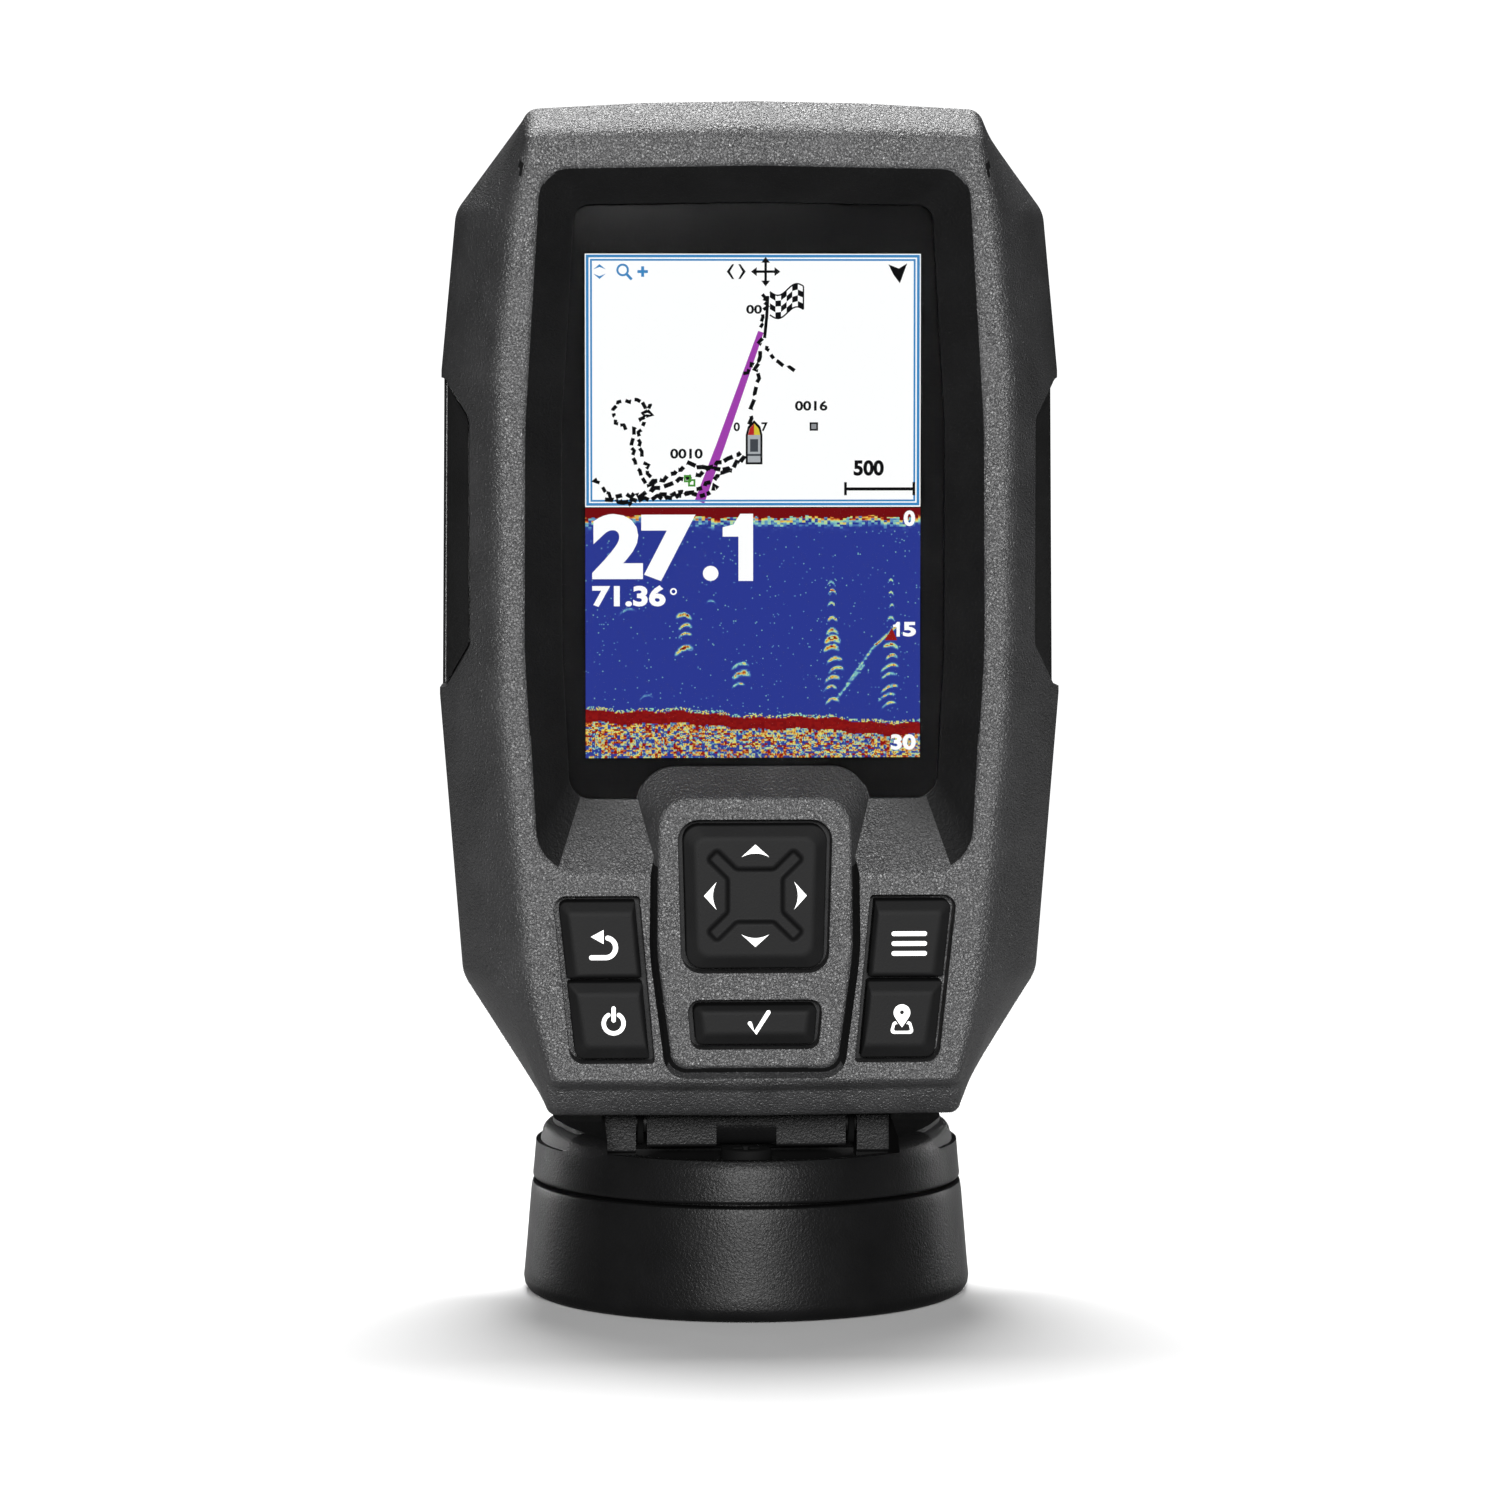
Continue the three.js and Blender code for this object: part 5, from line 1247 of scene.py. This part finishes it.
    boat = [(161, 158), (167, 164), (169, 172), (169, 200), (153, 200), (153, 172), (155, 164)]
    hull = [(161, 161), (165.4, 166), (167, 172.5), (167, 198), (155, 198), (155, 172.5), (156.6, 166)]
    cabin = [(157.2, 176), (164.8, 176), (164.8, 188), (157.2, 188)]
    screen_shapes("boat_outline", [boat], 6, black)
    screen_shapes("boat_hull", [hull], 7, linear(176, 180, 184))
    screen_shapes("boat_dark", [cabin, rectangle(155, 190, 167, 192)], 8, linear(70, 74, 80))
    bow_left = [(161, 161), (161, 172), (155.2, 172), (156.8, 166)]
    bow_right = [(161, 161), (165.4, 166), (166.8, 172), (161, 172)]
    screen_shapes("boat_bow_left", [bow_left], 8, linear(190, 40, 40))
    screen_shapes("boat_bow_right", [bow_right], 8, linear(220, 200, 60))
    green = outline_of(94, 210, 101, 217, 1.8) + outline_of(98, 214, 105, 221, 1.8)
    screen_shapes("waypoint_green", green, 7, linear(70, 150, 50))

    digits = numerals("27", 6.5, 247, 105, 311, 0.05) + numerals(".", 112, 296.5, 127, 311, 0.0)
    digits += [numeral_one(131, 247, 160, 311)] + numerals("71.36", 6.5, 315, 76.5, 335.5, 0.04)
    digits += ribbon(arc(84, 321, 2.6, 0, 360, 16), 1.5)
    digits += numerals("0", 304, 244, 315, 259, 0.04) + numerals("5", 303.5, 350.5, 316, 364.5, 0.04)
    digits += [numeral_one(294, 350.5, 300.5, 364.5)]
    digits += numerals("30", 292, 458, 316, 473, 0.04)
    screen_shapes("sonar_numerals", digits, 6, white)
    screen_shapes("depth_mark", [[(286, 368), (293, 356), (298, 368)]], 5, linear(150, 24, 24))


display()

# ---------------------------------------------------------------- mount


def cone(z):
    return BASE_RADIUS - 0.085 * max(z - 2, 0)


def mount_base():
    bottom_edge = [(BASE_RADIUS - 2.2, 0.2), (BASE_RADIUS - 1.3, 0.32), (BASE_RADIUS - 0.6, 0.75),
                   (BASE_RADIUS - 0.16, 1.45), (BASE_RADIUS, 2.4)]
    wall = [(cone(z), z) for z in (4, 7, 10, 13, 15.4)]
    top_edge = [(cone(BASE_TOP) - 0.02, BASE_TOP - 0.5), (cone(BASE_TOP) - 0.1, BASE_TOP - 0.2),
                (cone(BASE_TOP) - 0.32, BASE_TOP - 0.03), (cone(BASE_TOP) - 0.6, BASE_TOP)]
    inside = BASE_RADIUS - 3.8
    profile = [(0, 1.6), (BASE_RADIUS - 2.8, 1.6), (BASE_RADIUS - 2.8, 0.2)] + bottom_edge + wall + top_edge
    profile += [(inside, BASE_TOP), (inside, 4.6), (8.0, 4.6), (8.0, BASE_TOP - 2.6), (0, BASE_TOP - 2.6)]
    body = turned("base_cup", profile, 160)
    for degrees in (90, 210, 330):
        a = math.radians(degrees)
        centre = (19.5 * math.cos(a), 19.5 * math.sin(a))
        combine(body, rod("hole", "z", centre, 2.2, 0, 6, 32))
    combine(body, rod("bolt_hole", "z", (0, 0), 1.9, 8, 20, 32))
    smooth(body)
    return finished(body, MOUNT_CASE, "base", "dark_casing", "mount_base")


def turret_profile(inset=0.0):
    """The turret's outside, from its foot over the crown to the axis, moved in by inset."""
    seam = BASE_TOP + 0.5
    low = cone(seam) - 0.1
    foot = [(low - 0.5, seam), (low - 0.2, seam + 0.06), (low - 0.04, seam + 0.25), (low, seam + 0.5)]
    wall = [(cone(z) - 0.1 - inset, z) for z in (19.5, 21.5, 23.4)]
    top_r = cone(TURRET_TOP) - 0.1
    reach = CROWN_RADIUS - inset
    middle_r, middle_z = top_r - CROWN_RADIUS, TURRET_TOP - CROWN_RADIUS
    crown = [
        (middle_r + reach * math.cos(a), middle_z + reach * math.sin(a)) for a in np.linspace(0.1, math.pi / 2, 9)
    ]
    crown += [(r, TURRET_TOP - inset) for r in (27, 24.5, 22, 19.5, 17, 14.5, 12, 9.5, 7, 4)]
    return foot + wall + crown + [(0, TURRET_TOP - inset)]


def crown_drop(y, z):
    """How far the crown lies lower at a place, growing towards the front and with height."""
    forward = min(max((-8 - y) / 26, 0), 1)
    return CROWN_DROP * forward * max(z - CROWN_DROP_FROM, 0) / (TURRET_TOP - CROWN_DROP_FROM)


def lower_front(body):
    """Lets the crown fall away towards the front."""
    for vertex in body.data.vertices:
        y, z = vertex.co.y / MM, vertex.co.z / MM
        vertex.co.z = (z - crown_drop(y, z)) * MM


def in_grip(x, y, z):
    """Whether a place lies on the sunk surface of a grip."""
    z += crown_drop(y, z)
    radius = math.hypot(x, y)
    corner_r, corner_z = cone(TURRET_TOP) - 0.1 - CROWN_RADIUS, TURRET_TOP - CROWN_RADIUS
    sunk = GRIP_DEPTH * 0.6
    if z < corner_z:
        return radius < cone(z) - 0.1 - sunk
    from_corner = math.hypot(max(radius - corner_r, 0), z - corner_z)
    return radius > GRIP_INNER - 0.3 and from_corner < CROWN_RADIUS - sunk


def grip_cutter(side):
    """Cuts a shallow sunk finger grip, rounded at its lower ends, into one side of the crown."""
    above = 32
    low_edge = [(-GRIP_REACH, GRIP_LOW, 1.6), (GRIP_REACH, GRIP_LOW, 1.6)]
    high_edge = [(GRIP_REACH, above, 0), (-GRIP_REACH, above, 0)]
    band = prism("grip_band", low_edge + high_edge, 20, 40, 8, 1.5)
    band.data.transform(Matrix.Rotation(math.radians(-90 * side), 4, "Z"))
    combine(band, tube_ring("grip_ring", GRIP_INNER, 40, 20, 34, 160), "INTERSECT")
    seam = BASE_TOP + 0.5
    core = turned("grip_core", [(0, seam), (cone(seam) - 2, seam)] + turret_profile(GRIP_DEPTH)[1:], 160)
    lower_front(core)
    return combine(band, core)


def turret():
    seam = BASE_TOP + 0.5
    collar = BASE_RADIUS - 4.1
    inner = collar - 3
    skirt = [(0, BASE_TOP - 1.2), (inner, BASE_TOP - 1.2), (inner, BASE_TOP - 4), (collar, BASE_TOP - 4)]
    profile = skirt + [(collar, seam)] + turret_profile()
    body = turned("turret_cap", profile, 160)
    lower_front(body)

    lip_inside = -math.sqrt(cone(LIP_HEIGHT) ** 2 - WELL_HALF**2) + 0.5
    combine(body, block("well_back", -WELL_HALF, WELL_HALF, lip_inside, WELL_BACK, WELL_FLOOR, 40))
    combine(body, block("well_front", -WELL_HALF, WELL_HALF, -50, 50, LIP_HEIGHT, 40))
    lip = rod("lip_inside", "z", (0, 0), cone(LIP_HEIGHT) - 2.4, WELL_FLOOR, 40, 160)
    combine(lip, block("lip_width", -WELL_HALF, WELL_HALF, -50, 0, 0, 60), "INTERSECT")
    combine(body, lip)
    for side in (1, -1):
        combine(body, grip_cutter(side))
    for side in (1, -1):
        inner, outer = BARREL_HALF + HINGE_WASHER + 0.6, WELL_HALF
        x0, x1 = (inner, outer + 0.4) if side > 0 else (-outer - 0.4, -inner)
        front, back = HINGE[0] - LUG_DEPTH, HINGE[0] + LUG_DEPTH
        low_end, high_end, heel = WELL_FLOOR - 0.5, HINGE[1] + 3.4, LUG_BOTTOM
        foot = [(front + 1.8, low_end, 0), (front + 1.8, heel, 0.2), (front, heel, 0.4)]
        lug = foot + [(front, high_end, 1.3), (back, high_end, 3.0), (back, low_end, 0)]
        combine(body, across("lug", rounded(lug, 6), x0, x1), "UNION")
    combine(body, rod("pin_bore", "x", HINGE, PIN_BORE, -WELL_HALF - 4, WELL_HALF + 4, 32))
    combine(body, rod("bolt_bore", "z", (0, 0), 2.2, 5, 30, 32))
    combine(body, rod("bolt_seat", "z", (0, 0), 5.2, WELL_FLOOR - 1.2, 30, 48))
    smooth(body)
    finished(body, MOUNT_CASE, "swivel", "dark_casing", "turret")
    body.data.materials.append(PRINT_AND_SHADE)
    body.data.materials.append(GRIP)
    # Painted shade: the inside of the well, except the lugs' sides and the lip's top, takes the flat black.
    for polygon in body.data.polygons:
        x, y, z = (v / MM for v in polygon.center)
        radius = math.hypot(x, y)
        in_well = abs(x) < WELL_HALF + 0.1 and z > WELL_FLOOR - 2.5 and radius < cone(z) - 1.6
        lug_side = abs(x) > 16 and abs(y - HINGE[0]) < 4.2 and z > LUG_BOTTOM - 0.1
        faces_up = polygon.normal.z > 0.5 and z > LIP_HEIGHT - 0.2
        if in_well and not lug_side and not faces_up:
            polygon.material_index = 1
        elif abs(x) > 24 and z > GRIP_LOW - 0.2 and abs(y) < GRIP_REACH + 1 and in_grip(x, y, z):
            polygon.material_index = 2
    return body


def cradle():
    """The tongue that the head slides on, with a squared hinge block at its foot."""
    arm = frame["nodes"]["cradle"].data
    corners = [tuple(v.co / MM) for v in arm.vertices]
    body = new_object("cradle_arm", corners, [tuple(p.vertices) for p in arm.polygons])
    half = 15.0
    front, back, low_end, high_end = HINGE[0] - 3.75, HINGE[0] + 3.75, BARREL_BOTTOM, HINGE[1] + 3.4
    combine(body, block("barrel_off", -half - 2, half + 2, front - 4, back, low_end - 4, high_end - 0.6))
    outline = [(front, low_end, 0.5), (front, high_end, 0.8), (back, high_end, 0.8), (back, low_end, 1.6)]
    squared = across("hinge_block", rounded(outline, 4), -half, half)
    gap, bolt_half = 0.3, BOLT_HEAD + 0.8
    tilt_room = rod("tilt_room", "x", HINGE, HINGE[1] - WELL_FLOOR - gap, -half - 2, half + 2, 64)
    combine(squared, tilt_room, "INTERSECT")
    near_bolt = rod("bolt_room", "z", (0, 0), bolt_half, WELL_FLOOR, HINGE[1], 48)
    behind = block("behind", -bolt_half, bolt_half, HINGE[0] - 0.5, back + 1, WELL_FLOOR, HINGE[1])
    combine(near_bolt, behind, "UNION")
    combine(near_bolt, rod("bolt_swing", "x", HINGE, HINGE[1] - BOLT_TOP - gap, -half, half, 64))
    combine(squared, near_bolt)
    combine(body, squared, "UNION")
    combine(body, rod("pin_bore", "x", HINGE, PIN_BORE, -half - 2, half + 2, 32))
    smooth(body, 30)
    return finished(body, MOUNT_CASE, "cradle", "dark_casing", "cradle")


mount_base()
turret()
cradle()

# ---------------------------------------------------------------- CAD pieces that keep their shape

# The swivel bolt, its washer and the hinge washers take the flat black as painted shade.
KEPT = {
    "deck_pad": (RUBBER, 0.3), "swivel_bolt": (PRINT_AND_SHADE, 0.2), "bolt_washer": (PRINT_AND_SHADE, 0.1),
    "swivel_ring": (RUBBER, 0.2),
    "hinge_pin": (BLACK_STEEL, 0.2), "hinge_washer_left": (PRINT_AND_SHADE, 0.1), "hinge_washer_right": (PRINT_AND_SHADE, 0.1),
    "backlight": (DIFFUSER, 0.2), "display_tray": (TINNED, 0.2),
    "key_mat": (RUBBER, 0.2), "dome_sheet": (STEEL, 0.1), "key_board": (BOARD, 0.1),
    "main_board": (BOARD, 0.1),
    "sonar_shield": (TINNED, 0.3), "processor_shield": (TINNED, 0.3), "positioning_antenna": (CERAMIC, 0.3),
    "beeper": (RUBBER, 0.4), "socket_shell": (DARK_CASE, 0.25), "socket_seal": (RUBBER, 0.2),
    "case_seal": (RUBBER, 0.2), "four_way_pivot": (RUBBER, 0.2),
}
for i in range(1, 5):
    KEPT[f"socket_contact_{i}"] = (GOLD, 0.15)
for i in range(1, 7):
    KEPT[f"case_screw_{i}"] = (STEEL, 0.15)

for node, (material, width) in KEPT.items():
    piece = frame["nodes"][node]
    piece.data.materials.clear()
    piece.data.materials.append(material)
    for polygon in piece.data.polygons:
        polygon.material_index = 0
    soften(piece, width)

# ---------------------------------------------------------------- floor, light and camera


def stage_floor():
    """The pale floor, which the camera sees brighter than the object does."""
    size = 0.5
    corners = [(-size, -0.3), (size, -0.3), (size, 0.45), (-size, 0.45)]
    floor = new_object("studio_floor", [(x / MM, y / MM, 0) for x, y in corners], [(0, 1, 2, 3)])
    seen, reflected = 0.62, 0.2
    mat, tree, shader = principled(
        "studio_white", Base_Color=(seen, seen, seen, 1), Roughness=0.9, Specular_IOR_Level=0.0)
    dim = add(tree, "BsdfDiffuse", Color=(reflected, reflected, reflected, 1))
    path = add(tree, "LightPath")
    mix = add(tree, "MixShader", Fac=path.outputs["Is Camera Ray"])
    tree.links.new(dim.outputs["BSDF"], mix.inputs[1])
    tree.links.new(shader.outputs["BSDF"], mix.inputs[2])
    tree.links.new(mix.outputs["Shader"], tree.nodes["Material Output"].inputs["Surface"])
    floor.data.materials.append(mat)


def area_light(name, place, target, size, power, spread=math.pi):
    """A rectangular lamp that looks at a target; sizes and places in metres, power in watts."""
    data = bpy.data.lights.new(name, "AREA")
    data.shape = "RECTANGLE"
    data.size, data.size_y = size
    data.energy = power
    data.spread = spread
    obj = bpy.data.objects.new(name, data)
    bpy.context.scene.collection.objects.link(obj)
    obj.location = place
    obj.rotation_euler = (Vector(target) - Vector(place)).to_track_quat("-Z", "Y").to_euler()
    obj.visible_camera = False
    return obj


def world():
    """White behind the object, and only a little light from all round."""
    made = bpy.data.worlds.new("studio")
    bpy.context.scene.world = made
    made.use_nodes = True
    tree = made.node_tree
    tree.nodes.clear()
    white = (1, 1, 1, 1)
    cast = add(tree, "Background", Color=white, Strength=0.035)
    seen = add(tree, "Background", Color=white, Strength=1.15)
    mix = add(tree, "MixShader", Fac=add(tree, "LightPath").outputs["Is Camera Ray"])
    tree.links.new(cast.outputs["Background"], mix.inputs[1])
    tree.links.new(seen.outputs["Background"], mix.inputs[2])
    add(tree, "OutputWorld", Surface=mix.outputs["Shader"])


stage_floor()
world()
area_light("top_softbox", (0.0, 0.28, 1.0), (0, 0.0, 0.05), (0.5, 0.3), 21)
area_light("front_softbox", (-0.05, -1.35, 0.3), (0, 0, 0.09), (0.28, 0.19), 40)
area_light("left_strip", (-0.2, 0.18, 0.045), (0, 0, 0.018), (0.05, 0.05), 0.009, 0.15)
area_light("right_strip", (0.23, 0.13, 0.045), (0, 0, 0.018), (0.05, 0.05), 0.0065, 0.15)

camera_data = bpy.data.cameras.new("camera")
camera_data.sensor_width = 36
camera_data.lens = 139.2
camera = bpy.data.objects.new("camera", camera_data)
bpy.context.scene.collection.objects.link(camera)
azimuth, elevation, distance = math.radians(-2.8), math.radians(4.0), 0.85
aim = Vector((-0.0005, -0.022, 0.0832))
level = math.cos(elevation)
out_way = Vector((math.sin(azimuth) * level, -math.cos(azimuth) * level, math.sin(elevation)))
camera.location = aim + out_way * distance
camera.rotation_euler = (-out_way).to_track_quat("-Z", "Y").to_euler()
bpy.context.scene.camera = camera
bpy.context.scene.view_settings.view_transform = "Standard"
